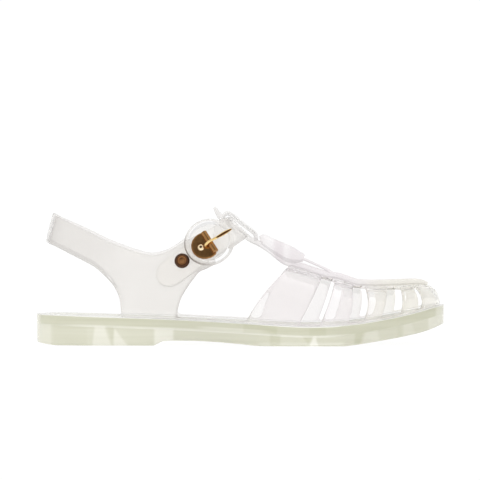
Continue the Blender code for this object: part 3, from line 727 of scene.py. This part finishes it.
def dress(piece, node, finish):
    """Give the piece its finish, hang it on the root, and hide the part it replaces."""
    piece.data.materials.clear()
    piece.data.materials.append(finish)
    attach(piece, "root")
    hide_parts(node)
    return piece


def add_grid(bm, columns, flip, gaps=()):
    """Faces between columns of points; a column that starts a gap keeps only its top face."""
    made = [[bm.verts.new(point) for point in column] for column in columns]
    for k in range(len(made) - 1):
        top = len(made[k]) - 2
        for row in range(top if k in gaps else 0, top + 1):
            face = [made[k][row], made[k + 1][row], made[k + 1][row + 1], made[k][row + 1]]
            bm.faces.new(face[::-1] if flip else face)


def upper_sheet():
    """Outer face of the whole upper as one sheet, its gaps left open."""
    bm = bmesh.new()
    for side in ("lateral", "medial"):
        flip = side == "medial"
        for columns in (heel_columns, wing_columns, trunk_grid, arm_columns, rim_grid):
            add_grid(bm, columns(side), flip)
        names, vamp = zip(*vamp_grid(side))
        add_grid(bm, vamp, flip, [k for k, name in enumerate(names) if name in VAMP_GAPS])
    strap = arch_columns("medial") + arch_columns("lateral")[-2::-1] + tail_columns()
    add_grid(bm, strap, True)
    bmesh.ops.remove_doubles(bm, verts=bm.verts, dist=SHEET_JOIN)
    bmesh.ops.dissolve_degenerate(bm, edges=bm.edges, dist=SHEET_SLIVER)
    return bm


def wall_rings(bm, rings, looped=False):
    """Walls between rings of equal count, and from the last to the first of a loop."""
    for here, there in zip(rings, rings[1:] + (rings[:1] if looped else [])):
        for k in range(len(here)):
            n = (k + 1) % len(here)
            bm.faces.new((here[k], here[n], there[n], there[k]))


def close_rings(bm, rings):
    """Walls between rings, and a face over each end."""
    wall_rings(bm, rings)
    bm.faces.new(rings[0][::-1])
    bm.faces.new(rings[-1])


def middle_bar(stations, name):
    """Bar lofted along the middle of the shoe, its edges hanging a little below its centre."""
    path = [Vector((x, follow(SPINE_SIDE, x, "y"), z)) for x, z, _, _ in stations]
    sizes = [Vector((wide, deep, 0)) for _, _, wide, deep in stations]
    bm = bmesh.new()
    rings = []
    count = (len(stations) - 1) * BAR_STEPS
    for k in range(count + 1):
        centre, size = along(path, k / count), along(sizes, k / count)
        up = Vector((0, 1, 0)).cross(heading(path, k / count))
        up = -up if up.z + abs(up.x) * BAR_UP_LEAN < 0 else up
        half, deep = size.x / 2, size.y / 2
        ring = []
        for out, rise in soft_section(BAR_SIDES, BAR_ROUND):
            sag = BAR_SAG * (out * half / BAR_SAG_AT) ** 2
            ring.append(bm.verts.new(centre + Vector((0, out * half, 0)) + up * (rise * deep - sag)))
        rings.append(ring)
    close_rings(bm, rings)
    return piece_from(name, bm)


def tree_of(points):
    tree = KDTree(len(points))
    for k, point in enumerate(points):
        tree.insert(point, k)
    tree.balance()
    return tree


def front_line():
    """Points along the front edge of the lateral wing and the arm over it, in the frame's metres."""
    points = []
    for k in range(FRONT_POINTS + 1):
        z = between(TRUNK_FRONT["z"][0], TRUNK_FRONT["z"][-1], k / FRONT_POINTS)
        points.append(wall_point("lateral", follow(TRUNK_FRONT, z, "x", "z"), z))
        x = between(WING_FRONT[0], ARM_END[0], k / FRONT_POINTS)
        points.append(wall_point("lateral", x, follow(BAND_LOWER, x)))
    return [(point + SHIFT) * MM for point in points]


def bar_tone_and_shade(place, normal):
    """How deep a bar looks, with painted shade where it faces down and painted light and shade for the
    folds of the knot.
    """
    return between(*BAR_SHADE, 0.5 - 0.5 * normal.z) + follow(KNOT_FOLD_SHADING, place.x, "lift")


def wall_tone_and_shade(place, from_edge, from_front):
    """How deep a wall looks at a place, painted lighter towards the sole, with painted shade by its
    distance from the free edges and the wing's front line, and over the strap's crossing.
    """
    body = follow(BODY_SHADE, place.x, "lateral" if place.y < 0 else "medial")
    # Painted lighter towards the sole
    body *= held((place.z - rim_seat(place.x)) / FOOT_REACH, FOOT_SHADE)
    edge = follow(BODY_SHADE, place.x, "edge")
    if in_tail(place):
        body, edge = TAIL_SHADE
    # Painted dark line along the wing's front edge, and painted shade over the strap where it crosses the
    # instep
    line = max(1 - from_front / (FRONT_REACH * MM), 0.0) * FRONT_SHADE
    crossing = max(1 - abs(place.y) / CROSSING_HALF, 0.0) if place.z > CROSSING_FLOOR else 0.0
    return between(body, edge, eased(1 - from_edge / (EDGE_REACH * MM))) + line + CROSSING_SHADE * crossing


def shade_upper(piece, edges, walls, bars):
    """Mark how deep the plastic looks: painted shade deepest along edges and joints, clearest in the hidden
    tail.
    """
    edge_tree, wall_tree, bar_tree = tree_of(edges), tree_of(walls), tree_of(bars)
    front_tree = tree_of(front_line())
    tones_and_shades = []
    for v in piece.data.vertices:
        place = v.co / MM - SHIFT
        wall, bar = wall_tree.find(v.co)[2], bar_tree.find(v.co)[2]
        # Points made where bars run in take a painted dark outline
        if min(wall, bar) > SAME_POINT:
            tones_and_shades.append(JOINT_SHADE)
        elif bar < wall:
            tones_and_shades.append(bar_tone_and_shade(place, v.normal))
        else:
            tones_and_shades.append(wall_tone_and_shade(place, edge_tree.find(v.co)[2], front_tree.find(v.co)[2]))
    piece.data.attributes.new("shade", "FLOAT", "POINT").data.foreach_set("value", tones_and_shades)


def in_tail(p):
    """Whether a point of the sheet lies on the strap's tail, inside the lateral wing."""
    (rear, front), (low, high) = TAIL_ROOM["x"], TAIL_ROOM["z"]
    if p.y > TAIL_ROOM["y"] or not rear < p.x < front or not low < p.z < high:
        return False
    return wall_reach("lateral", p.x, p.z) + p.y > TAIL_DEPTH


def clear_tail(upper, finish):
    """The tail takes the plastic without its haze, so that only its outline shows through the wing."""
    mesh = upper.data
    mesh.materials.append(finish)
    tail = [in_tail(v.co / MM - SHIFT) for v in mesh.vertices]
    for face in mesh.polygons:
        face.material_index = int(all(tail[k] for k in face.vertices))


def sheet_edges(bm):
    """Evenly spaced points along the sheet's free edges above the sole, in the frame's metres."""
    points = []
    for e in bm.edges:
        start, end = (v.co for v in e.verts)
        lift = max(p.z - rim_seat(p.x) for p in (start, end))
        if len(e.link_faces) == 1 and lift > RIM_HEIGHT / 2:
            steps = max(int((end - start).length / EDGE_SPACING), 1)
            points += [(start.lerp(end, k / steps) + SHIFT) * MM for k in range(steps)]
    return points


def upper_moulding():
    """The whole clear upper: sheet given its wall, edges rounded, and its bars run into it."""
    sheet = upper_sheet()
    edges = sheet_edges(sheet)
    upper = piece_from("upper_moulding", sheet)
    shell = upper.modifiers.new("wall", "SOLIDIFY")
    shell.thickness = WALL * MM
    shell.offset = -1
    shell.use_even_offset = True
    shell.use_quality_normals = True
    soft = upper.modifiers.new("rounded", "SUBSURF")
    soft.levels = soft.render_levels = UPPER_ROUNDS
    settle(upper)
    walls = [v.co.copy() for v in upper.data.vertices]
    bars = []
    for label, stations in (("spine_bead", SPINE_BEAD), ("spine_bridge", SPINE_BRIDGE), ("t_bar", T_BAR),
                            ("loop_band", LOOP_BAND), ("throat_knot", THROAT_KNOT)):
        bar = middle_bar(stations, label)
        bars += [v.co.copy() for v in bar.data.vertices]
        run_into(upper, bar)
    mend_joints(upper)
    settle(upper, UPPER_CREASE)
    shade_upper(upper, edges, walls, bars)
    return upper


def painted_light_tone(painted_patches, ground, x, rise):
    """Tone of the plain ground, or of the painted light or shade that lies at a place along the side."""
    tone = ground
    for _, floor, band, patch_tone in painted_patches:
        start, end = (between(low, high, rise) for low, high in zip(floor, band))
        tone += (patch_tone - tone) * held(min(x - start, end - x) / PAINTED_LIGHT_SOFT)
    return tone


def side_tone(x, rise, below, inset):
    """How pale the sole looks at a place: by painted light and shade under the band and in it, a painted
    highlight along the step and a painted streak of light in the band, palest on top.
    """
    if below < TOP_EDGE or below < FOOTBED_DEPTH + FOOTBED_DISH and inset > INNER_EDGE:
        return TOP_TONE
    line = follow(STEP_LINE, x, "lift") if abs(below - BAND_HEIGHT) < STEP_LINE_HALF else 0.0
    if below < BAND_HEIGHT:
        streak = follow(BAND_STREAK, x, "lift") if STREAK_TOP < below < STREAK_FOOT else 0.0
        return painted_light_tone(BAND_PAINTED_LIGHT, BAND_GROUND, x, 1 - below / BAND_HEIGHT) + max(streak, line)
    return painted_light_tone(SOLE_PAINTED_LIGHT, SOLE_GROUND, x, rise) + line


def sole_walls():
    """Rows up the side of the sole: inset, level it is measured from and height over that level."""
    rounds = quarter_turn(ROUND_STEPS)
    walls = [(BAND_PROUD + FLOOR_ROUND * (1 - math.sin(a)), "bottom", FLOOR_ROUND_RISE * (1 - math.cos(a)))
             for a in rounds]
    walls += [(BAND_PROUD, "between", k / LOW_ROWS) for k in range(1, LOW_ROWS)]
    walls += [(inset, "top", rise - BAND_HEIGHT) for inset, rise in STEP_ROWS]
    walls += [(0.0, "top", -BAND_HEIGHT * share) for share in BAND_ROWS]
    walls += [(EDGE_ROUND * (1 - math.cos(a)), "top", -EDGE_ROUND * (1 - math.sin(a))) for a in rounds]
    return walls + [(inset, "top", rise) for inset, rise in FOOTBED_ROWS]


def sole_unit():
    """Sole from rings round its outline, with rounded edges, the band's step and a dished footbed."""
    bm = bmesh.new()
    tone = bm.verts.layers.float.new("tone")
    rings = []
    for inset, level, lift in sole_walls():
        ring = []
        for p in outline_ring(SOLE_STATIONS, inset, inset < INNER_EDGE):
            bottom, top = follow(SOLE_BOTTOM, p.x), follow(SOLE_TOP, p.x)
            low, high = bottom + FLOOR_ROUND_RISE, top - BAND_HEIGHT + STEP_ROWS[0][1]
            z = {"bottom": bottom + lift, "top": top + lift, "between": between(low, high, lift)}[level]
            ring.append(bm.verts.new((p.x, p.y, z)))
            ring[-1][tone] = side_tone(p.x, (z - bottom) / (high - bottom), top - z, inset)
        rings.append(ring)
    wall_rings(bm, rings)
    close_across(bm, rings[0], 0.0, tone)
    close_across(bm, rings[-1], FOOTBED_DISH, tone)
    return settle(piece_from("sole_unit", bm), SOLE_CREASE)


def close_across(bm, ring, dish, tone):
    """Close a ring of the sole by rows from side to side, dished between them."""
    rows = []
    for k in range(len(ring) // 2 + 1):
        left, right = ring[k], ring[-k]
        if left is right:
            rows.append([left] * (SOLE_ACROSS + 1))
            continue
        inner = []
        for s in range(1, SOLE_ACROSS):
            share = s / SOLE_ACROSS
            point = left.co.lerp(right.co, share)
            point.z -= dish * math.sin(math.pi * share) ** FOOTBED_DISH_POWER
            inner.append(bm.verts.new(point))
            inner[-1][tone] = left[tone]
        rows.append([left] + inner + [right])
    for here, there in zip(rows, rows[1:]):
        for s in range(SOLE_ACROSS):
            bm.faces.new(list(dict.fromkeys((here[s], here[s + 1], there[s + 1], there[s]))))


def seat_frame(x, z):
    """Flat seat on the outside of the lateral wall: run along the strap, across it, and outward."""
    origin = wall_point("lateral", x, z)
    dx = wall_point("lateral", x + SEAT_REACH, z) - wall_point("lateral", x - SEAT_REACH, z)
    dz = wall_point("lateral", x, z + SEAT_REACH) - wall_point("lateral", x, z - SEAT_REACH)
    out = dx.cross(dz).normalized()
    run = Vector((math.cos(STRAP_SLOPE), 0, math.sin(STRAP_SLOPE)))
    run = (run - out * run.dot(out)).normalized()
    return Matrix.Translation(origin) @ Matrix((run, out.cross(run), out)).transposed().to_4x4()


def ring_frame(seat):
    """Round buckle frame: a soft oblong section carried round a circle, with a painted dark reflection
    along its lower rear edge.
    """
    bm = bmesh.new()
    shade = bm.verts.layers.float.new("shade")
    rings = []
    for a in full_turn(RING_STEPS):
        turned = abs((a - CRESCENT_AT + math.pi) % (2 * math.pi) - math.pi) / CRESCENT_HALF
        dark = max(1 - turned * turned, 0.0)
        ring = []
        for out, rise in soft_section(RING_SIDES, RING_SOFT):
            r = RING_RADIUS + RING_WIDTH / 2 * out
            h = RING_LIFT + RING_DEPTH / 2 * (1 + rise)
            ring.append(bm.verts.new(seat @ Vector((r * math.cos(a), r * math.sin(a), h))))
            # The painted dark reflection, fuller out on the section
            ring[-1][shade] = dark * held((out - CRESCENT_EDGE) / (1 - CRESCENT_EDGE) * CRESCENT_RATE)
        rings.append(ring)
    wall_rings(bm, rings, looped=True)
    return settle(piece_from("ring_frame", bm))


def gold_plate(seat):
    """Crowned half-disc plate with the rolled bar along its straight edge."""
    edge = math.acos((BAR_AT - PLATE_AT) / PLATE_RADIUS)
    turns = [between(edge, 2 * math.pi - edge, k / PLATE_STEPS) for k in range(PLATE_STEPS + 1)]
    levels = [(PLATE_RADIUS, 0.0), (PLATE_RADIUS, PLATE_DEPTH / 2)]
    for a in quarter_turn(PLATE_ROUND)[1:]:
        levels.append((PLATE_RADIUS - PLATE_EDGE * (1 - math.cos(a)), PLATE_DEPTH / 2 * (1 + math.sin(a))))
    for k in range(1, PLATE_RINGS):
        share = 1 - k / PLATE_RINGS
        crown = PLATE_CROWN * (1 - share * share)
        levels.append(((PLATE_RADIUS - PLATE_EDGE) * share, PLATE_DEPTH + crown))
    bm = bmesh.new()
    rings = []
    for r, rise in levels:
        places = [(min(PLATE_AT + r * math.cos(a), BAR_AT), r * math.sin(a), SEAT_GAP + rise)
                  for a in turns]
        rings.append([bm.verts.new(seat @ Vector(place)) for place in places])
    close_rings(bm, rings)
    plate = settle(piece_from("gold_plate", bm), PLATE_CREASE)
    run_into(plate, piece_from("rolled_bar", rolled_bar(seat)))
    mend_joints(plate)
    return settle(plate, PLATE_CREASE)


def rolled_bar(seat):
    ends = [(BAR_HALF - BAR_END * (1 - math.sin(a)), 1 - BAR_END_TAPER * (1 - math.cos(a)) ** 2)
            for a in quarter_turn(ROLL_STEPS)]
    bm = bmesh.new()
    rings = []
    for place, share in [(-place, share) for place, share in ends[::-1]] + ends:
        ring = []
        for a in full_turn(ROLL_SIDES):
            point = Vector((BAR_AT + BAR_RADIUS * share * math.cos(a), place,
                            SEAT_GAP + BAR_RADIUS * (1 + share * math.sin(a))))
            ring.append(bm.verts.new(seat @ point))
        rings.append(ring)
    close_rings(bm, rings)
    return bm


def prong_rod(seat):
    """Bent prong: its root hooks over the bar, its point rests on the ring, with a painted dark reflection
    along its upper side.
    """
    path = [Vector((run, 0, rise)) for run, rise, _ in PRONG]
    girth = [Vector((radius, 0, 0)) for _, _, radius in PRONG]
    count = (len(PRONG) - 1) * PRONG_STEPS
    bm = bmesh.new()
    dark_reflection = bm.verts.layers.float.new("dark_reflection")
    rings = []
    for k in range(count + 1):
        centre, radius = along(path, k / count), along(girth, k / count).x
        up = heading(path, k / count).cross(Vector((0, 1, 0)))
        ring = []
        for a in full_turn(PRONG_SIDES):
            side, rise = radius * math.cos(a), radius * math.sin(a)
            ring.append(bm.verts.new(seat @ (centre + Vector((0, side, 0)) + up * rise)))
            # Painted dark reflection along the upper side, from a little past the root
            facing = max(math.cos(a - DARK_REFLECTION_FACING), 0.0) ** 2
            ring[-1][dark_reflection] = facing * held((centre.x - DARK_REFLECTION_START) / DARK_REFLECTION_RUN)
        rings.append(ring)
    close_rings(bm, rings)
    return settle(piece_from("prong_rod", bm), METAL_CREASE)


def turned_piece(name, seat, profile, lift):
    """Round piece turned from a profile of radius and height, drawn smoothly."""
    points = [Vector((r, h, 0)) for r, h in profile]
    widest = max(r for r, _ in profile)
    turns = full_turn(RIVET_SIDES)
    bm = bmesh.new()
    reach = bm.verts.layers.float.new("reach")
    foot, head = (bm.verts.new(seat @ Vector((0, 0, lift + h))) for _, h in (profile[0], profile[-1]))
    rings = []
    for step in range(1, RIVET_STEPS):
        p = along(points, step / RIVET_STEPS)
        r = max(p.x, LEAST_RADIUS)
        places = [(r * math.cos(a), r * math.sin(a), lift + p.y) for a in turns]
        rings.append([bm.verts.new(seat @ Vector(place)) for place in places])
        for v in rings[-1]:
            v[reach] = r / widest
    wall_rings(bm, rings)
    for k in range(RIVET_SIDES):
        n = (k + 1) % RIVET_SIDES
        bm.faces.new((foot, rings[0][n], rings[0][k]))
        bm.faces.new((head, rings[-1][k], rings[-1][n]))
    return settle(piece_from(name, bm), METAL_CREASE)


class Wire:
    """A shader socket that takes part in sums as a number does."""

    def __init__(self, desk, socket):
        self.desk, self.socket = desk, socket

    def sum_with(self, operation, first, second):
        return self.desk.node("ShaderNodeMath", {"operation": operation}, {0: first, 1: second})

    def __add__(self, other):
        return self.sum_with("ADD", self, other)

    def __sub__(self, other):
        return self.sum_with("SUBTRACT", self, other)

    def __rsub__(self, other):
        return self.sum_with("SUBTRACT", other, self)

    def __mul__(self, other):
        return self.sum_with("MULTIPLY", self, other)

    __radd__, __rmul__ = __add__, __mul__


class Desk:
    """One node tree, and the few ways its nodes are added."""

    def __init__(self, tree):
        self.tree = tree

    def node(self, kind, settings=None, sockets=None, out=0):
        made = self.tree.nodes.new(kind)
        for key, value in (settings or {}).items():
            setattr(made, key, value)
        for key, value in (sockets or {}).items():
            self.join(made.inputs[key], value)
        return Wire(self, made.outputs[out])

    def join(self, socket, value):
        if isinstance(value, Wire):
            self.tree.links.new(value.socket, socket)
        else:
            socket.default_value = value

    def mark(self, name):
        return self.node("ShaderNodeAttribute", {"attribute_name": name}, out="Fac")

    def vector(self, operation, first, second, out):
        return self.node("ShaderNodeVectorMath", {"operation": operation}, {0: first, 1: second}, out)

    def mix(self, share, first, second):
        return self.node("ShaderNodeMix", {"data_type": "RGBA"}, {0: share, 6: first, 7: second}, 2)

    def noise(self, place, scale, detail=2.0):
        sockets = {"Vector": place, "Scale": scale, "Detail": detail}
        return self.node("ShaderNodeTexNoise", {}, sockets, "Fac")

    def ramp(self, value, low, high, first=0.0, last=1.0):
        return self.node("ShaderNodeMapRange", {"interpolation_type": "SMOOTHSTEP"},
                         {0: value, 1: low, 2: high, 3: first, 4: last})


class Finish(Desk):
    """A material on one Principled shader."""

    def __init__(self, name, **values):
        self.made = bpy.data.materials.new(name)
        self.made.use_nodes = True
        super().__init__(self.made.node_tree)
        self.shader = self.tree.nodes["Principled BSDF"]
        for key, value in values.items():
            self.set(key, value)
        self.place = self.node("ShaderNodeTexCoord", out="Object")

    def set(self, key, value):
        self.join(self.shader.inputs[key.replace("_", " ")], value)

    def bump(self, height, strength, distance):
        self.set("Normal", self.node("ShaderNodeBump", {}, {"Strength": strength, "Distance": distance,
                                                            "Height": height}))


def clear_plastic(name, clearness, coat):
    """Clear plastic, tinted by how deep it looks, with the painted shade and light that mark carries, and
    by place from heel to toe.
    """
    f = Finish(name, Transmission_Weight=clearness, IOR=1.06, Coat_Weight=coat, Coat_Roughness=0.06)
    waves = f.noise(f.place, scale=55.0, detail=1.0)
    grain = f.noise(f.place, scale=900.0)
    depth = (f.mark("shade") + (waves - 0.5) * 0.15) * 0.5
    ahead = f.node("ShaderNodeSeparateXYZ", {}, {0: f.place}, "X")
    heel, vamp, toe = (f.mix(depth, *tint) for tint in (STRAP_GREY, VAMP_LILAC, TOE_OLIVE))
    front = f.mix(f.ramp(ahead, VAMP_TINT_END, TOE_TINT_START), vamp, toe)
    f.set("Base_Color", f.mix(f.ramp(ahead, HEEL_TINT_END, VAMP_TINT_START), heel, front))
    f.set("Roughness", 0.05 + grain * 0.05)
    f.bump(waves, strength=0.2, distance=0.001)
    return f.made


def ring_plastic():
    f = Finish("ring_plastic", Transmission_Weight=0.97, IOR=1.12, Coat_Weight=0.2)
    grain = f.noise(f.place, scale=700.0)
    # The mark paints the ring's dark reflection
    f.set("Base_Color", f.mix(f.mark("shade"), f.mix(grain, *RING_CLEAR), RING_PAINTED_DARK))
    f.set("Roughness", 0.03 + grain * 0.04)
    return f.made


def olive_plastic():
    """Sole plastic: its drawn tones, painted light and shade among them, broken up by soft clouds and long
    streaks, palest on top.
    """
    f = Finish("olive_plastic", Transmission_Weight=0.3, IOR=1.42)
    cloud = f.noise(f.place, scale=40.0)
    grain = f.noise(f.place, scale=800.0)
    tone = f.mark("tone")
    drawn_out = f.vector("MULTIPLY", f.place, STREAK_STRETCH, "Vector")
    streaks = f.noise(drawn_out, scale=1.0)
    side = f.mix(tone + (cloud - 0.5) * 0.1 + (streaks - 0.5) * 0.4, *SOLE_OLIVE)
    f.set("Base_Color", f.mix(f.ramp(tone, SIDE_TONE_END, TOP_TONE), side, FOOTBED_PALE))
    f.set("Roughness", 0.12 + grain * 0.1)
    f.bump(cloud, strength=0.12, distance=0.001)
    return f.made


def rubbed_metal(name, colours, mark=None, turn_at=0.0):
    """Rubbed metal in patches of two colours, or turning from one to the other as a mark rises, which on
    the prong and the rivets is painted reflection and highlight.
    """
    f = Finish(name, Metallic=1.0)
    rub = f.noise(f.place, scale=420.0, detail=4.0)
    share = rub
    if mark:
        share = f.ramp(f.mark(mark) + (rub - 0.5) * 0.1, turn_at - TURN_HALF, turn_at + TURN_HALF)
    f.set("Base_Color", f.mix(share, *colours))
    f.set("Roughness", 0.14 + rub * 0.12)
    f.bump(rub, strength=0.08, distance=0.0004)
    return f.made


SEAT = seat_frame(BUCKLE_X, BUCKLE_Z)
PRONG_SEAT = SEAT @ Matrix.Translation((0, PRONG_DROP, 0))
DOME_SEAT = SEAT @ Matrix.Translation((PLATE_RIVET_AT, 0, 0))
RIVET_SEAT = seat_frame(RIVET_X, RIVET_Z)
UPPER = dress(upper_moulding(), "upper", clear_plastic("clear_plastic", clearness=0.86, coat=0.25))
clear_tail(UPPER, clear_plastic("clear_tail", clearness=1.0, coat=0.0))
dress(sole_unit(), "sole", olive_plastic())
dress(ring_frame(SEAT), "buckle_ring", ring_plastic())
dress(gold_plate(SEAT), "buckle_plate", rubbed_metal("brown_gold", BROWN_GOLD))
dress(prong_rod(PRONG_SEAT), "buckle_prong",
      rubbed_metal("bright_gold", PRONG_GOLD, "dark_reflection", DARK_REFLECTION_TURN))
# The dome is painted dark in the middle and pale to its rim, a painted reflection and highlight
dress(turned_piece("plate_dome", DOME_SEAT, PLATE_RIVET, PLATE_DEPTH + 2 * SEAT_GAP), "plate_rivet",
      rubbed_metal("dome_gold", DOME_GOLD, "reach", DOME_TURN))
# The copper rivet is painted lighter in its dish than on its rim, a painted highlight
dress(turned_piece("copper_rivet", RIVET_SEAT, STRAP_RIVET, SEAT_GAP), "strap_rivet",
      rubbed_metal("copper", COPPER, "reach", DISH_TURN))

scene = bpy.context.scene


def white_floor():
    bm = bmesh.new()
    bmesh.ops.create_grid(bm, x_segments=4, y_segments=4, size=TABLE_HALF)
    mesh = bpy.data.meshes.new("floor")
    bm.to_mesh(mesh)
    bm.free()
    floor = bpy.data.objects.new("floor", mesh)
    scene.collection.objects.link(floor)
    f = Finish("light_table", Roughness=0.9, Specular_IOR_Level=0.0, Emission_Strength=TABLE_LIGHT)
    f.set("Emission_Color", WHITE)
    f.set("Base_Color", f.mix(f.noise(f.place, scale=3.0), *FLOOR_GREY))
    mesh.materials.append(f.made)


def studio_light():
    """White all round; what a surface mirrors is a little dimmer, and dark above the camera."""
    world = bpy.data.worlds.new("studio")
    world.use_nodes = True
    scene.world = world
    d = Desk(world.node_tree)
    back = world.node_tree.nodes["Background"]
    toward = d.node("ShaderNodeTexCoord", out="Generated")
    facing = d.vector("DOT_PRODUCT", toward, DARK_WALL, "Value")
    mirrored = d.node("ShaderNodeLightPath", out="Is Glossy Ray")
    dim = d.ramp(facing, *DARK_WALL_SPAN, MIRRORED_LIGHT, MIRRORED_DARK)
    d.join(back.inputs["Strength"], mirrored * dim + (1 - mirrored) * ROOM_LIGHT)
    d.join(back.inputs["Color"], WHITE)


def hang(name, fitting, place, look):
    """Put a lamp or a lens at a place, facing along a direction."""
    holder = bpy.data.objects.new(name, fitting)
    holder.location = place
    holder.rotation_euler = look.to_track_quat("-Z", "Y").to_euler()
    scene.collection.objects.link(holder)
    return holder


def softbox(name, place, target, size, power):
    lamp = bpy.data.lights.new(name, "AREA")
    lamp.shape = "RECTANGLE"
    lamp.size, lamp.size_y = size
    lamp.energy = power
    hang(name, lamp, place, Vector(target) - Vector(place))


def portrait_camera():
    lens = bpy.data.cameras.new("portrait")
    lens.lens, lens.sensor_width = CAMERA_LENS, SENSOR_WIDTH
    lens.clip_end = 50.0
    reach = CAMERA_LENS / SENSOR_WIDTH * CAMERA_SPAN
    back = Vector((0, -math.cos(CAMERA_RISE), math.sin(CAMERA_RISE)))
    scene.camera = hang("portrait", lens, Vector(CAMERA_TARGET) + back * reach, -back)


white_floor()
studio_light()
softbox("overhead", place=(0.25, 0.55, 1.4), target=(0, 0, 0.03), size=(0.9, 0.9), power=3.0)
portrait_camera()
scene.view_settings.view_transform = "Standard"
scene.cycles.max_bounces = 24
scene.cycles.transmission_bounces = 24
scene.cycles.glossy_bounces = 8
scene.cycles.transparent_max_bounces = 16
